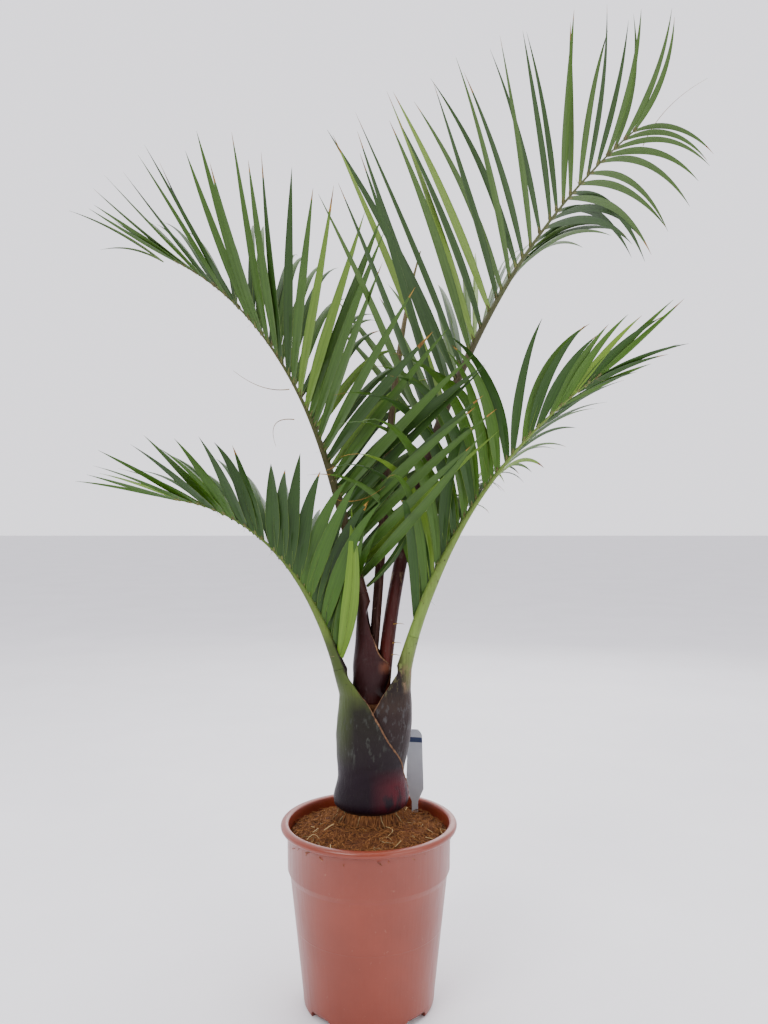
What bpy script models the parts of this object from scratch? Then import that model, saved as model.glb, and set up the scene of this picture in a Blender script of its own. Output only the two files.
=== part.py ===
"""Potted triangle palm: a young palm with four feather leaves and an unopened spear, in a 21 cm nursery pot.

Metres, +Z up. The origin is under the middle of the pot, on the plane that it stands on, and -Y is the front.
The lists below give a value at even steps along a part, from its foot to its tip, unless a comment says otherwise.
"""

import math

import bpy
import numpy as np
from mathutils.bvhtree import BVHTree

UP = np.array([0.0, 0.0, 1.0])
CLEARANCE = 0.0004

# Pot: radii and heights of its turned wall
POT_HEIGHT = 0.2125
RIM_RADIUS = 0.1045
RIM_DROP = 0.0085
COLLAR_RADIUS = 0.0965
COLLAR_FOOT = 0.1550
BODY_RADIUS = 0.0930
BASE_RADIUS = 0.0778
WALL = 0.0018
FOOT_HEIGHT = 0.0090
FOOT_RADIUS = 0.0745
FOOT_WIDTH = 0.0060
BOSS_RADIUS = 0.0220
FLOOR = 0.0025
NOTCH_WIDTH = 0.0360
NOTCH_COUNT = 4

# Potting mix
SOIL_EDGE_HEIGHT = 0.1980
SOIL_TOP_HEIGHT = 0.2104
SOIL_TOP_RADIUS = 0.0440

# Swollen base of overlapping leaf sheaths: its axis leans to +X, and its depth is less than its width.
# BULB gives its outer radius at each height.
AXIS_X = 0.0018
AXIS_Y = 0.0100
AXIS_START = 0.2200
AXIS_LEAN = 0.043
BULB_DEPTH = 0.92
BULB = ((0.2240, 0.0375), (0.2285, 0.0430), (0.2357, 0.0453), (0.2442, 0.0444), (0.2526, 0.0424),
        (0.2611, 0.0412), (0.2695, 0.0417), (0.2863, 0.0438), (0.3050, 0.0453), (0.3229, 0.0454),
        (0.3518, 0.0436))
SHEATH_WALL = 0.0036
SHEATH_STEP = 0.0054

# Trunk: the root collar that flares on the potting mix, and the stem inside the sheaths up to its fork
COLLAR_TOP = 0.2236
COLLAR = ((SOIL_TOP_HEIGHT + CLEARANCE, 0.0415), (0.2165, 0.0402), (COLLAR_TOP, 0.0372))
STEM_START_RADIUS = 0.0265
STEM_INSET = 0.0120
STEM_TOP = 0.3505
FORK = STEM_TOP + CLEARANCE
LIMB_FOOT = FORK + 0.0008

# Plant label
LABEL_AT = (0.0570, 0.0640)
LABEL_TURN = -12
LABEL_THICKNESS = 0.0010
LABEL_OUTLINE = ((0.0000, 0.1640), (0.0040, 0.1700), (0.0040, 0.2120), (0.0112, 0.2280), (0.0092, 0.2960),
                 (0.0040, 0.3030))

# Leaves, oldest first. The stalk starts at foot and leans over from the first angle of lean to the second, as its
# length to the power bend. thick gives its half thickness, from foot to tip, and first is where leaflets begin.
# sheath gives the height and how far the sheath wraps round the stem each way, in degrees; shift moves it aside.
# Each row of leaflets has its reach, the angle forward from the stalk, the lift above the stalk's side, the curl
# towards the ground along the leaflet, how late that curl comes, and the width.
LEAVES = {
    "lower_left": {
        "foot": (-0.0327, -0.0030, 0.3902), "length": 0.2929, "azimuth": 197, "lean": (21.0, 82.7), "bend": 1.73,
        "thick": (0.0072, 0.0048, 0.0021, 0.0014, 0.0010), "first": 0.055, "roll": (0, 0, 0), "seed": 11,
        "face": 197, "inset": 0.0, "shift": ((0.25, 0.0),),
        "radii": (*BULB, (0.3590, 0.0437), (0.3662, 0.0452), (0.3780, 0.0481)),
        "sheath": ((0.2240, 168), (0.2500, 166), (0.2670, 140), (0.2863, 122), (0.3080, 98), (0.3360, 76),
                   (0.3640, 50), (0.3780, 25)),
        "near": {"count": 16, "reach": (0.170, 0.165, 0.140, 0.130, 0.110), "forward": (30, 42, 45, 33, 15),
                 "lift": (65, 60, 55, 45, 30), "curl": (20, 35, 30, 15, 5), "late": 2.0,
                 "width": (0.0150, 0.0165, 0.0165, 0.0135, 0.0080)},
        "far": {"count": 16, "reach": (0.170, 0.165, 0.140, 0.130, 0.110), "forward": (32, 44, 46, 35, 16),
                "lift": (60, 55, 50, 45, 25), "curl": (50, 60, 50, 30, 10), "late": 1.5,
                "width": (0.0150, 0.0165, 0.0165, 0.0135, 0.0080)},
    },
    "lower_right": {
        "foot": (0.0410, 0.0000, 0.3934), "length": 0.4155, "azimuth": -16, "lean": (15.5, 55.0), "bend": 1.15,
        "thick": (0.0080, 0.0068, 0.0032, 0.0018, 0.0010), "first": 0.125, "roll": (0, 10, 25, 45, 60), "seed": 12,
        "face": -16, "inset": SHEATH_STEP, "shift": ((0.2550, 0.0010), (0.2863, 0.0028), (0.3050, 0.0040),
                                                     (0.3229, SHEATH_STEP)),
        "radii": (*BULB, (0.3590, 0.0429), (0.3662, 0.0417), (0.3734, 0.0405), (0.3807, 0.0398)),
        "sheath": ((0.2240, 168), (0.2600, 160), (0.3000, 120), (0.3300, 95), (0.3520, 78), (0.3700, 60),
                   (0.3807, 36)),
        "near": {"count": 20, "reach": (0.240, 0.260, 0.210, 0.140, 0.110), "forward": (22, 28, 42, 46, 11),
                 "lift": (72, 70, 55, 40, 25), "curl": (100, 110, 78, 60, 5), "late": 1.6,
                 "width": (0.0120, 0.0140, 0.0140, 0.0115, 0.0080)},
        "far": {"count": 20, "reach": (0.200, 0.190, 0.120, 0.100, 0.110), "forward": (24, 28, 34, 18, 12),
                "lift": (70, 60, 40, 25, 20), "curl": (110, 110, 80, 20, 15), "late": 1.5,
                "width": (0.0115, 0.0120, 0.0110, 0.0100, 0.0080)},
    },
    "upper_left": {
        "foot": (-0.0050, 0.0030, 0.4693), "length": 0.4963, "azimuth": 172, "lean": (13.2, 62.8), "bend": 2.03,
        "thick": (0.0080, 0.0064, 0.0026, 0.0014, 0.0010), "first": 0.050, "roll": (0, 0, 0), "seed": 13,
        "face": 180, "inset": 0.0, "shift": ((0.3509, -0.0055), (0.3660, -0.0065), (0.4110, -0.0120),
                                             (0.4520, -0.0150)),
        "radii": ((0.3509, 0.0262), (0.3660, 0.0238), (0.3850, 0.0232), (0.4110, 0.0210), (0.4300, 0.0182),
                  (0.4520, 0.0140)),
        "sheath": ((FORK, 145), (0.3980, 142), (0.4110, 127), (0.4300, 108), (0.4520, 65)),
        "near": {"count": 26, "reach": (0.250, 0.250, 0.240, 0.210, 0.130), "forward": (60, 70, 52, 32, 8),
                 "lift": (55, 55, 50, 45, 25), "curl": (5, 5, 3, 0, 0), "late": 1.3,
                 "width": (0.0110, 0.0140, 0.0150, 0.0130, 0.0070)},
        "far": {"count": 26, "reach": (0.170, 0.180, 0.190, 0.180, 0.120), "forward": (58, 58, 50, 40, 12),
                "lift": (60, 60, 58, 52, 25), "curl": (60, 60, 55, 60, 5), "late": 3.5,
                "width": (0.0110, 0.0125, 0.0130, 0.0120, 0.0070)},
    },
    "upper_right": {
        "foot": (0.0145, 0.0090, LIMB_FOOT), "length": 0.8375, "azimuth": 18, "lean": (4.2, 48.7), "bend": 1.06,
        "thick": (0.0098, 0.0086, 0.0053, 0.0022, 0.0012), "first": 0.370, "roll": (0, 25, 55, 65, 75), "seed": 14,
        "sheath": (),
        "near": {"count": 24, "reach": (0.330, 0.300, 0.255, 0.225, 0.190), "forward": (60, 55, 51, 42, 12),
                 "lift": (50, 45, 30, 22, 15), "curl": (5, 10, 22, 12, -35), "late": 1.3,
                 "width": (0.0120, 0.0130, 0.0120, 0.0110, 0.0090)},
        "far": {"count": 24, "reach": (0.260, 0.260, 0.270, 0.250, 0.170), "forward": (48, 36, 24, 42, 14),
                "lift": (50, 42, 25, 25, 20), "curl": (10, 25, 38, 40, 10), "late": 1.3,
                "width": (0.0120, 0.0130, 0.0120, 0.0110, 0.0090)},
    },
}
SPEAR = {"foot": (0.0003, 0.0110, LIMB_FOOT), "length": 0.5522, "azimuth": 20, "lean": (4.4, 17.0), "bend": 4.0,
         "thick": (0.0062, 0.0062, 0.0054, 0.0042, 0.0008)}

# A leaflet is turned aside by these angles of lift and forward, until it is clear of the other leaves
TURNS = ((0, 0), (8, 0), (-8, 0), (0, 8), (0, -8), (12, 6), (-12, -6), (16, 0), (-16, 0), (0, 16), (20, -8),
         (-20, 8))
SHORTER = (1.0, 0.8, 0.6)
BLADE_STEPS = 6
BLADE_THICKNESS = 0.012
BLADE_SPACE = 0.0015

# A stalk is wider than it is thick, and its upper side is flatter than its lower side
STALK_WIDTH = 1.15
STALK_UPPER = 0.75
SHEATH_POINTS = 15
LIMB_POINTS = 6
RACHIS_POINTS = 3
RACHIS_STEPS = 26
RACHIS_START = 0.012


def unit(vector):
    return vector / np.linalg.norm(vector)


def along(values, t):
    """The value at t, from 0 to 1, among values that are evenly spaced."""
    return float(np.interp(t, np.linspace(0, 1, len(values)), values))


def read(pairs, height):
    """The value at a height, from (height, value) pairs."""
    return float(np.interp(height, [pair[0] for pair in pairs], [pair[1] for pair in pairs]))


def make_material(name, colour, roughness):
    material = bpy.data.materials.new(name)
    material.use_nodes = True
    material.diffuse_color = (*colour, 1)
    shader = material.node_tree.nodes["Principled BSDF"]
    shader.inputs["Base Color"].default_value = (*colour, 1)
    shader.inputs["Roughness"].default_value = roughness
    shader.inputs["Metallic"].default_value = 0
    return material


def make_object(name, points, faces, material, collection):
    mesh = bpy.data.meshes.new(name)
    mesh.from_pydata([tuple(point) for point in points], [], faces)
    mesh.materials.append(material)
    mesh.shade_smooth()
    mesh.set_sharp_from_angle(angle=math.radians(35))
    made = bpy.data.objects.new(name, mesh)
    collection.objects.link(made)
    return made


def make_turned(name, profile, material, collection, steps=48):
    """A turned shape. The profile of (radius, height) starts and ends on the axis, and runs down its outer side."""
    edges = [(i, i + 1) for i in range(len(profile) - 1)]
    mesh = bpy.data.meshes.new(name)
    mesh.from_pydata([(radius, 0, height) for radius, height in profile], edges, [])
    mesh.materials.append(material)
    made = bpy.data.objects.new(name, mesh)
    collection.objects.link(made)
    screw = made.modifiers.new("Turn", "SCREW")
    screw.steps = screw.render_steps = steps
    screw.use_merge_vertices = True
    screw.merge_threshold = 0.00001
    screw.use_smooth_shade = True
    return made


def loft(rings):
    """Points and faces of a closed skin over rings with the same number of points."""
    count = len(rings[0])
    faces = [tuple(range(count - 1, -1, -1))]
    for ring in range(len(rings) - 1):
        low, high = ring * count, (ring + 1) * count
        for i in range(count):
            j = (i + 1) % count
            faces.append((low + i, low + j, high + j, high + i))
    faces.append(tuple(range((len(rings) - 1) * count, len(rings) * count)))
    return np.vstack(rings), faces


def cut(piece, cutter):
    modifier = piece.modifiers.new("Cut " + cutter.name, "BOOLEAN")
    modifier.operation = "DIFFERENCE"
    modifier.object = cutter
    cutter.hide_render = True
    cutter.display_type = "WIRE"


def fuse(piece, group):
    """Joins a collection's objects to the piece by one Boolean union, and removes them."""
    modifier = piece.modifiers.new("Fuse", "BOOLEAN")
    modifier.operation = "UNION"
    modifier.operand_type = "COLLECTION"
    modifier.collection = group
    modifier.solver = "MANIFOLD"
    bpy.context.view_layer.update()
    graph = bpy.context.evaluated_depsgraph_get()
    joined = bpy.data.meshes.new_from_object(piece.evaluated_get(graph))
    piece.modifiers.remove(modifier)
    piece.data = joined
    for other in list(group.objects):
        bpy.data.objects.remove(other)
    bpy.data.collections.remove(group)


def make_pot(material, collection, cutters):
    rim_foot = POT_HEIGHT - RIM_DROP
    rim_middle = POT_HEIGHT - RIM_DROP / 2
    collar_inside = COLLAR_RADIUS - WALL
    body_inside = BODY_RADIUS - WALL
    base_inside = BASE_RADIUS - WALL
    floor_top = FOOT_HEIGHT + FLOOR
    profile = [
        (0, floor_top), (base_inside - 0.003, floor_top), (base_inside, floor_top + 0.003),
        (body_inside, COLLAR_FOOT - 0.004), (collar_inside, COLLAR_FOOT + 0.003),
        (collar_inside + 0.001, rim_foot), (collar_inside + 0.002, rim_middle), (RIM_RADIUS - 0.0055, POT_HEIGHT),
        (RIM_RADIUS - 0.0025, POT_HEIGHT), (RIM_RADIUS - 0.0006, POT_HEIGHT - 0.0020), (RIM_RADIUS, rim_middle),
        (RIM_RADIUS - 0.0012, rim_foot + 0.0014), (RIM_RADIUS - 0.0040, rim_foot), (COLLAR_RADIUS, rim_foot - 0.001),
        (COLLAR_RADIUS - 0.0004, COLLAR_FOOT + 0.003), (BODY_RADIUS, COLLAR_FOOT - 0.004),
        (BASE_RADIUS, floor_top), (BASE_RADIUS - 0.0008, 0.0055), (FOOT_RADIUS + 0.0010, 0.0015), (FOOT_RADIUS, 0),
        (FOOT_RADIUS - FOOT_WIDTH, 0), (FOOT_RADIUS - FOOT_WIDTH - 0.0005, FOOT_HEIGHT),
        (BOSS_RADIUS + 0.0010, FOOT_HEIGHT), (BOSS_RADIUS, 0), (0, 0),
    ]
    pot = make_turned("pot", profile, material, collection)
    for i in range(NOTCH_COUNT):
        turn = math.radians(45 + 360 / NOTCH_COUNT * i)
        half, tall = NOTCH_WIDTH / 2, FOOT_HEIGHT - 0.0006
        inner, outer = FOOT_RADIUS - 0.014, FOOT_RADIUS + 0.010
        outline = ((-half, -0.004), (half, -0.004), (half - 0.003, tall), (-half + 0.003, tall))
        rings = [[(reach * math.cos(turn) - y * math.sin(turn), reach * math.sin(turn) + y * math.cos(turn), z)
                  for y, z in outline] for reach in (inner, outer)]
        points, faces = loft([np.array(ring) for ring in rings])
        cut(pot, make_object(f"notch_{i + 1}", points, faces, material, cutters))
    return pot


def make_soil(material, collection, cutters):
    slope = (BODY_RADIUS - BASE_RADIUS) / (COLLAR_FOOT - 0.004 - FOOT_HEIGHT - FLOOR)
    side = CLEARANCE + WALL
    bottom = FOOT_HEIGHT + FLOOR + CLEARANCE
    span = COLLAR_RADIUS - side - SOIL_TOP_RADIUS
    mound = [(SOIL_TOP_RADIUS + span * t, SOIL_EDGE_HEIGHT + (SOIL_TOP_HEIGHT - SOIL_EDGE_HEIGHT) * (1 - t) ** 1.6)
             for t in np.linspace(0, 1, 7)]
    profile = [(0, SOIL_TOP_HEIGHT), *mound, (COLLAR_RADIUS - side, COLLAR_FOOT + 0.004),
               (BODY_RADIUS - side - 0.0004, COLLAR_FOOT - 0.004),
               (BASE_RADIUS - side + slope * 0.005, bottom + 0.005), (BASE_RADIUS - side - 0.0035, bottom), (0, bottom)]
    soil = make_turned("potting_mix", profile, material, collection)
    turn = math.radians(LABEL_TURN)
    half, deep = 0.0040 + CLEARANCE, LABEL_THICKNESS / 2 + CLEARANCE
    corners = [(-half, -deep), (half, -deep), (half, deep), (-half, deep)]
    rings = [[(LABEL_AT[0] + x * math.cos(turn) - y * math.sin(turn),
               LABEL_AT[1] + x * math.sin(turn) + y * math.cos(turn), z) for x, y in corners]
             for z in (LABEL_OUTLINE[0][1] - CLEARANCE, SOIL_TOP_HEIGHT + 0.01)]
    points, faces = loft([np.array(ring) for ring in rings])
    cut(soil, make_object("label_slot", points, faces, material, cutters))
    return soil


def make_label(material, collection):
    """The blank plant label: a flat outline, upright behind the stem."""
    right = list(LABEL_OUTLINE)
    outline = right + [(-x, z) for x, z in reversed(right) if x > 0]
    flat = bpy.data.curves.new("plant_label", "CURVE")
    flat.dimensions = "2D"
    flat.fill_mode = "BOTH"
    flat.extrude = LABEL_THICKNESS / 2
    line = flat.splines.new("POLY")
    line.points.add(len(outline) - 1)
    for point, (x, z) in zip(line.points, outline):
        point.co = (x, z, 0, 1)
    line.use_cyclic_u = True
    flat.materials.append(material)
    label = bpy.data.objects.new("plant_label", flat)
    label.location = (*LABEL_AT, 0)
    label.rotation_euler = (math.radians(90), 0, math.radians(LABEL_TURN))
    collection.objects.link(label)
    return label


def stem_ring(height, radius, count=24):
    turns = np.arange(count) * math.tau / count
    return np.stack([AXIS_X + AXIS_LEAN * (height - AXIS_START) + radius * np.cos(turns),
                     AXIS_Y + BULB_DEPTH * radius * np.sin(turns), np.full(count, height)], axis=1)


def make_trunk(material, collection):
    """The root collar, flat where it stands on the potting mix, and the stem up to its fork."""
    sizes = [*COLLAR, (COLLAR_TOP + 0.0002, STEM_START_RADIUS)]
    sizes += [(height, radius - STEM_INSET) for height, radius in BULB if COLLAR_TOP + 0.002 < height < STEM_TOP]
    sizes.append((STEM_TOP, read(BULB, STEM_TOP) - STEM_INSET))
    points, faces = loft([stem_ring(height, radius) for height, radius in sizes])
    return make_object("trunk", points, faces, material, collection)


def stalk_points(leaf, steps=60):
    """Points along a leaf's stalk, which leans over more and more towards its tip."""
    s = (np.arange(steps) + 0.5) / steps
    lean = np.radians(leaf["lean"][0] + (leaf["lean"][1] - leaf["lean"][0]) * s ** leaf["bend"])
    azimuth = math.radians(leaf["azimuth"])
    run = np.stack([np.sin(lean) * math.cos(azimuth), np.sin(lean) * math.sin(azimuth), np.cos(lean)], axis=1)
    foot = np.array(leaf["foot"])
    return np.vstack([foot, foot + np.cumsum(run, axis=0) * leaf["length"] / steps])


def stalk_frame(points, s):
    """The place at s along the stalk, and the way ahead, to the left and to the upper side there."""
    at = s * (len(points) - 1)
    i = min(int(at), len(points) - 2)
    ahead = unit(points[i + 1] - points[i])
    place = points[i] + (at - i) * (points[i + 1] - points[i])
    return place, ahead, unit(np.cross(UP, ahead)), unit(UP - ahead * ahead[2])


def oval_ring(leaf, points, s, count):
    """A ring across the stalk: its rounded lower half, then its flatter upper half."""
    place, _, left, upper = stalk_frame(points, s)
    thick = along(leaf["thick"], s)
    turns = np.radians(-90 + (np.arange(count) + 0.5) * 180 / count)
    lower = [place + thick * (left * STALK_WIDTH * math.sin(turn) - upper * math.cos(turn)) for turn in turns]
    flat = [place + thick * (left * STALK_WIDTH * math.sin(turn) + upper * STALK_UPPER * math.cos(turn))
            for turn in reversed(turns)]
    return np.array(lower + flat)


def sheath_ring(leaf, height, count):
    """A ring across the sheath: its outer arc round the stem, then its inner arc back."""
    middle = np.array([AXIS_X + AXIS_LEAN * (height - AXIS_START) + read(leaf["shift"], height), AXIS_Y, height])
    radius = read(leaf["radii"], height) - leaf["inset"]
    wrap = read(leaf["sheath"], height)
    ring = []
    for inside in (False, True):
        for v in np.linspace(-1, 1, count) * (-1 if inside else 1):
            turn = math.radians(leaf["face"] + wrap * v)
            wall = SHEATH_WALL * (1 - 0.6 * v * v) if inside else 0
            ring.append(middle + (radius - wall) * np.array([math.cos(turn), BULB_DEPTH * math.sin(turn), 0]))
    return np.array(ring)


def stalk_skin(leaf, points):
    """The sheath that clasps the stem, drawn together into the leaf stalk below the first leaflet."""
    count = SHEATH_POINTS if leaf["sheath"] else LIMB_POINTS
    heights = [height for height, _ in leaf.get("radii", ()) if height <= leaf["sheath"][-1][0]]
    rings = [sheath_ring(leaf, height, count) for height in heights]
    end = leaf["first"] - (RACHIS_START + CLEARANCE) / leaf["length"]
    steps = max(2, round(end * leaf["length"] / 0.035))
    rings += [oval_ring(leaf, points, s, count) for s in np.linspace(0, end, steps)]
    return loft(rings)


def rachis_skin(leaf, points):
    start = leaf["first"] - RACHIS_START / leaf["length"]
    return loft([oval_ring(leaf, points, s, RACHIS_POINTS) for s in np.linspace(start, 1, RACHIS_STEPS)])


def spear_skin():
    points = stalk_points(SPEAR)
    return loft([oval_ring(SPEAR, points, s, 5) for s in np.linspace(0, 1, 18)])


def blade_outline(t):
    """A leaflet's width at t along it: narrow at its root, widest past a third of the way, and drawn to its tip."""
    return (0.42 + 0.58 * math.sin(min(1.0, t / 0.4) * math.pi / 2)) * (1 - t ** 2.4)


def leaflet_line(root, ahead, out, upper, reach, forward, lift, curl, late):
    """Points along a leaflet's midrib, and the way across its blade."""
    rise = out * math.cos(math.radians(lift)) + upper * math.sin(math.radians(lift))
    turn = math.radians(forward)
    start = ahead * math.cos(turn) + rise * math.sin(turn)
    down = unit(start * start[2] - UP)
    points = [root]
    for k in range(BLADE_STEPS):
        bend = math.radians(curl) * ((k + 0.5) / BLADE_STEPS) ** late
        points.append(points[-1] + (start * math.cos(bend) + down * math.sin(bend)) * reach / BLADE_STEPS)
    return np.array(points), ahead * math.sin(turn) - rise * math.cos(turn)


def blade_skin(line, across, upper, width, thickness):
    """Points and faces of a folded blade: two edges and a ridge along its midrib, up to a point."""
    ways = np.gradient(line, axis=0)
    points = []
    for k in range(BLADE_STEPS):
        way = unit(ways[k])
        side = unit(across - way * way.dot(across))
        ridge = np.cross(way, side)
        ridge = ridge if ridge.dot(upper) > 0 else -ridge
        size = blade_outline(k / BLADE_STEPS)
        half = side * width / 2 * size
        tall = ridge * thickness * max(size, 0.5)
        points += [line[k] - half - tall / 3, line[k] + tall * 2 / 3, line[k] + half - tall / 3]
    points.append(line[-1])
    points = np.array(points)
    faces = [(0, 1, 2)]
    for k in range(BLADE_STEPS - 1):
        for i in range(3):
            j = (i + 1) % 3
            faces.append((3 * k + i, 3 * k + 3 + i, 3 * k + 3 + j, 3 * k + j))
    last = 3 * (BLADE_STEPS - 1)
    faces += [(last + i, len(points) - 1, last + (i + 1) % 3) for i in range(3)]
    outward = np.cross(points[1] - points[0], points[2] - points[0]).dot(line[0] - line[1]) > 0
    return points, faces if outward else [face[::-1] for face in faces]


def tree_of(skins):
    """One search tree over several skins of points and faces."""
    points, faces = [], []
    for skin, polygons in skins:
        faces += [tuple(i + len(points) for i in polygon) for polygon in polygons]
        points += [tuple(point) for point in skin]
    return BVHTree.FromPolygons(points, faces)


def clear_blade(frame, spec, t, vary, others):
    """A leaflet's blade, turned aside or shortened until it is clear of the others, or None."""
    place, ahead, out, upper = frame
    reach = along(spec["reach"], t) * (1 + 0.08 * vary[0])
    width = along(spec["width"], t) * (1 + 0.10 * vary[1])
    thickness = BLADE_THICKNESS * reach
    for shorter in SHORTER:
        for lift, forward in TURNS:
            line, across = leaflet_line(
                place, ahead, out, upper, reach * shorter,
                along(spec["forward"], t) + 4 * vary[2] + forward, along(spec["lift"], t) + 6 * vary[3] + lift,
                along(spec["curl"], t) + 8 * vary[4], spec["late"])
            wide = blade_skin(line, across, upper, width + 2 * BLADE_SPACE, thickness + 2 * BLADE_SPACE)
            if not tree_of([wide]).overlap(others):
                return blade_skin(line, across, upper, width, thickness)
    return None


def leaf_blades(leaf, stalk, others):
    """The blades of both rows of leaflets, as far as each is clear of the other leaves."""
    draw = np.random.default_rng(leaf["seed"])
    blades = []
    for row, way in (("near", 1), ("far", -1)):
        spec = leaf[row]
        for i in range(spec["count"]):
            t = i / (spec["count"] - 1)
            vary = draw.uniform(-1, 1, 6)
            spot = min(1.0, max(0.0, t + 0.3 * vary[5] / spec["count"]))
            place, ahead, left, upper = stalk_frame(stalk, leaf["first"] + (0.995 - leaf["first"]) * spot)
            near = left if left[1] < 0 else -left
            roll = math.radians(along(leaf["roll"], t))
            out = near * math.cos(roll) + upper * math.sin(roll)
            over = upper * math.cos(roll) - near * math.sin(roll)
            blade = clear_blade((place, ahead, out * way, over), spec, t, vary, others)
            if blade:
                blades.append(blade)
    return blades


def make_frond(name, rachis, blades, material, collection):
    """The feathered part of a leaf: its rachis, with each leaflet's root sunk in it, joined as one solid."""
    frond = make_object(name, *rachis, material, collection)
    group = bpy.data.collections.new("leaflets_" + name)
    bpy.context.scene.collection.children.link(group)
    for i, blade in enumerate(blades):
        make_object(f"leaflet_{name}_{i + 1}", *blade, material, group)
    fuse(frond, group)
    return frond


def main():
    for old in list(bpy.data.objects):
        bpy.data.objects.remove(old)
    palm = bpy.data.collections.new("potted_triangle_palm")
    cutters = bpy.data.collections.new("cutters")
    cutters.hide_render = True
    bpy.context.scene.collection.children.link(palm)
    bpy.context.scene.collection.children.link(cutters)

    make_pot(make_material("terracotta_plastic", (0.42, 0.13, 0.07), 0.38), palm, cutters)
    make_soil(make_material("coir_mix", (0.16, 0.06, 0.02), 0.95), palm, cutters)
    make_label(make_material("label_plastic", (0.60, 0.62, 0.66), 0.45), palm)
    make_trunk(make_material("trunk_bark", (0.19, 0.09, 0.05), 0.85), palm)

    stalks = {name: stalk_points(leaf) for name, leaf in LEAVES.items()}
    limbs = {name: stalk_skin(leaf, stalks[name]) for name, leaf in LEAVES.items()}
    rachises = {name: rachis_skin(leaf, stalks[name]) for name, leaf in LEAVES.items()}
    spear = spear_skin()
    make_object("spear_leaf", *spear, make_material("furled_leaf", (0.16, 0.05, 0.04), 0.60), palm)
    grown = [spear, *limbs.values()]
    for name, leaf in LEAVES.items():
        make_object("stalk_" + name, *limbs[name], make_material("stalk_" + name, (0.10, 0.05, 0.04), 0.50), palm)
        others = grown + [rachis for other, rachis in rachises.items() if other != name]
        blades = leaf_blades(leaf, stalks[name], tree_of(others))
        make_frond("frond_" + name, rachises[name], blades,
                   make_material("leaf_" + name, (0.06, 0.13, 0.03), 0.45), palm)
        grown += blades


main()
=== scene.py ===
import math
import bmesh
import bpy
import numpy as np
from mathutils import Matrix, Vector, noise
from mathutils.bvhtree import BVHTree


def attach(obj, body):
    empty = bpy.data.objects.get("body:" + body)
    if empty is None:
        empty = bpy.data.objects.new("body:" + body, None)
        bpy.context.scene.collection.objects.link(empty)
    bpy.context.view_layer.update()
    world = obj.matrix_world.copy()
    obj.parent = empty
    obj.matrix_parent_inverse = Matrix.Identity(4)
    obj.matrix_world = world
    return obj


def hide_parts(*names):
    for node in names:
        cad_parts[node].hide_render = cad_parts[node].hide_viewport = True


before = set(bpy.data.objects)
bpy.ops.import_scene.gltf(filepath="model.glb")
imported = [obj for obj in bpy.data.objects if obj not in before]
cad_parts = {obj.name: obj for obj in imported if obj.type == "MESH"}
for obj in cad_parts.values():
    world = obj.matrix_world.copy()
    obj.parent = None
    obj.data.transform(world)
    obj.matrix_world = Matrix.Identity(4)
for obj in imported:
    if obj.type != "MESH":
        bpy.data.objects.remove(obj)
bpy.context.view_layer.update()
print("frame loaded:", len(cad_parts), "nodes")

up = np.array([0.0, 0.0, 1.0])

# Camera at the photo's place, level, facing +Y
camera = {"at": (0.0179, -1.026, 0.578), "lens": 30.27}
lights = (
    {"name": "key", "at": (-1.5, -2.0, 2.3), "size": 1.5, "tall": 1.5, "power": 66},
    {"name": "fill", "at": (1.9, -1.5, 1.3), "size": 1.6, "tall": 1.6, "power": 24},
    {"name": "top", "at": (0.2, 0.6, 2.7), "size": 2.0, "tall": 2.0, "power": 40},
    {"name": "behind", "at": (0.6, 2.2, 1.5), "size": 1.8, "tall": 1.8, "power": 22},
    {"name": "strip", "at": (1.16, -1.73, 0.6), "size": 0.07, "tall": 1.3, "power": 5},
)
# Every light points at the middle of the plant
aim = (0.05, 0.0, 0.6)
# The studio is dim on the viewer's side and pale behind the plant
studio = {"tint": (0.89, 0.87, 0.93), "front": 0.26, "back": 1.9, "low": -0.5, "high": 0.6, "overhead": 0.6}


def newObject(name, data):
    thing = bpy.data.objects.new(name, data)
    bpy.context.scene.collection.objects.link(thing)
    return thing


def setCamera():
    data = bpy.data.cameras.new("camera")
    data.lens = camera["lens"]
    seen = newObject("camera", data)
    seen.location = camera["at"]
    seen.rotation_euler = (math.pi / 2, 0, 0)
    bpy.context.scene.camera = seen


def setLights():
    for light in lights:
        lamp = bpy.data.lights.new(light["name"], "AREA")
        lamp.shape = "RECTANGLE"
        lamp.size, lamp.size_y = light["size"], light["tall"]
        lamp.energy = light["power"]
        held = newObject(light["name"], lamp)
        held.location = light["at"]
        way = Vector(aim) - Vector(light["at"])
        held.rotation_euler = way.to_track_quat("-Z", "Y").to_euler()


def setWorld():
    world = bpy.data.worlds.new("studio")
    world.use_nodes = True
    tree = world.node_tree
    overhead = calculate(tree, "MULTIPLY", axisOf(tree, "Generated", 2), studio["overhead"])
    depth = calculate(tree, "ADD", axisOf(tree, "Generated", 1), overhead)
    glow = mapRange(tree, depth, studio["low"], studio["high"], studio["front"], studio["back"])
    feed(tree, tree.nodes["Background"].inputs["Color"], studio["tint"])
    feed(tree, tree.nodes["Background"].inputs["Strength"], glow)
    bpy.context.scene.world = world


# Shader helpers

def feed(tree, socket, source):
    # the source is another socket, a colour of three values or a number
    if isinstance(source, bpy.types.NodeSocket):
        tree.links.new(source, socket)
    elif socket.type == "RGBA":
        socket.default_value = (*source, 1)
    else:
        socket.default_value = source


def calculate(tree, operation, first, second):
    node = tree.nodes.new("ShaderNodeMath")
    node.operation = operation
    feed(tree, node.inputs[0], first)
    feed(tree, node.inputs[1], second)
    return node.outputs[0]


def mapRange(tree, value, *limits):
    # limits: from low, from high and, where they aren't 0 and 1, to low and to high
    node = tree.nodes.new("ShaderNodeMapRange")
    for socket, source in zip(node.inputs, (value, *limits)):
        feed(tree, socket, source)
    return node.outputs[0]


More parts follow.
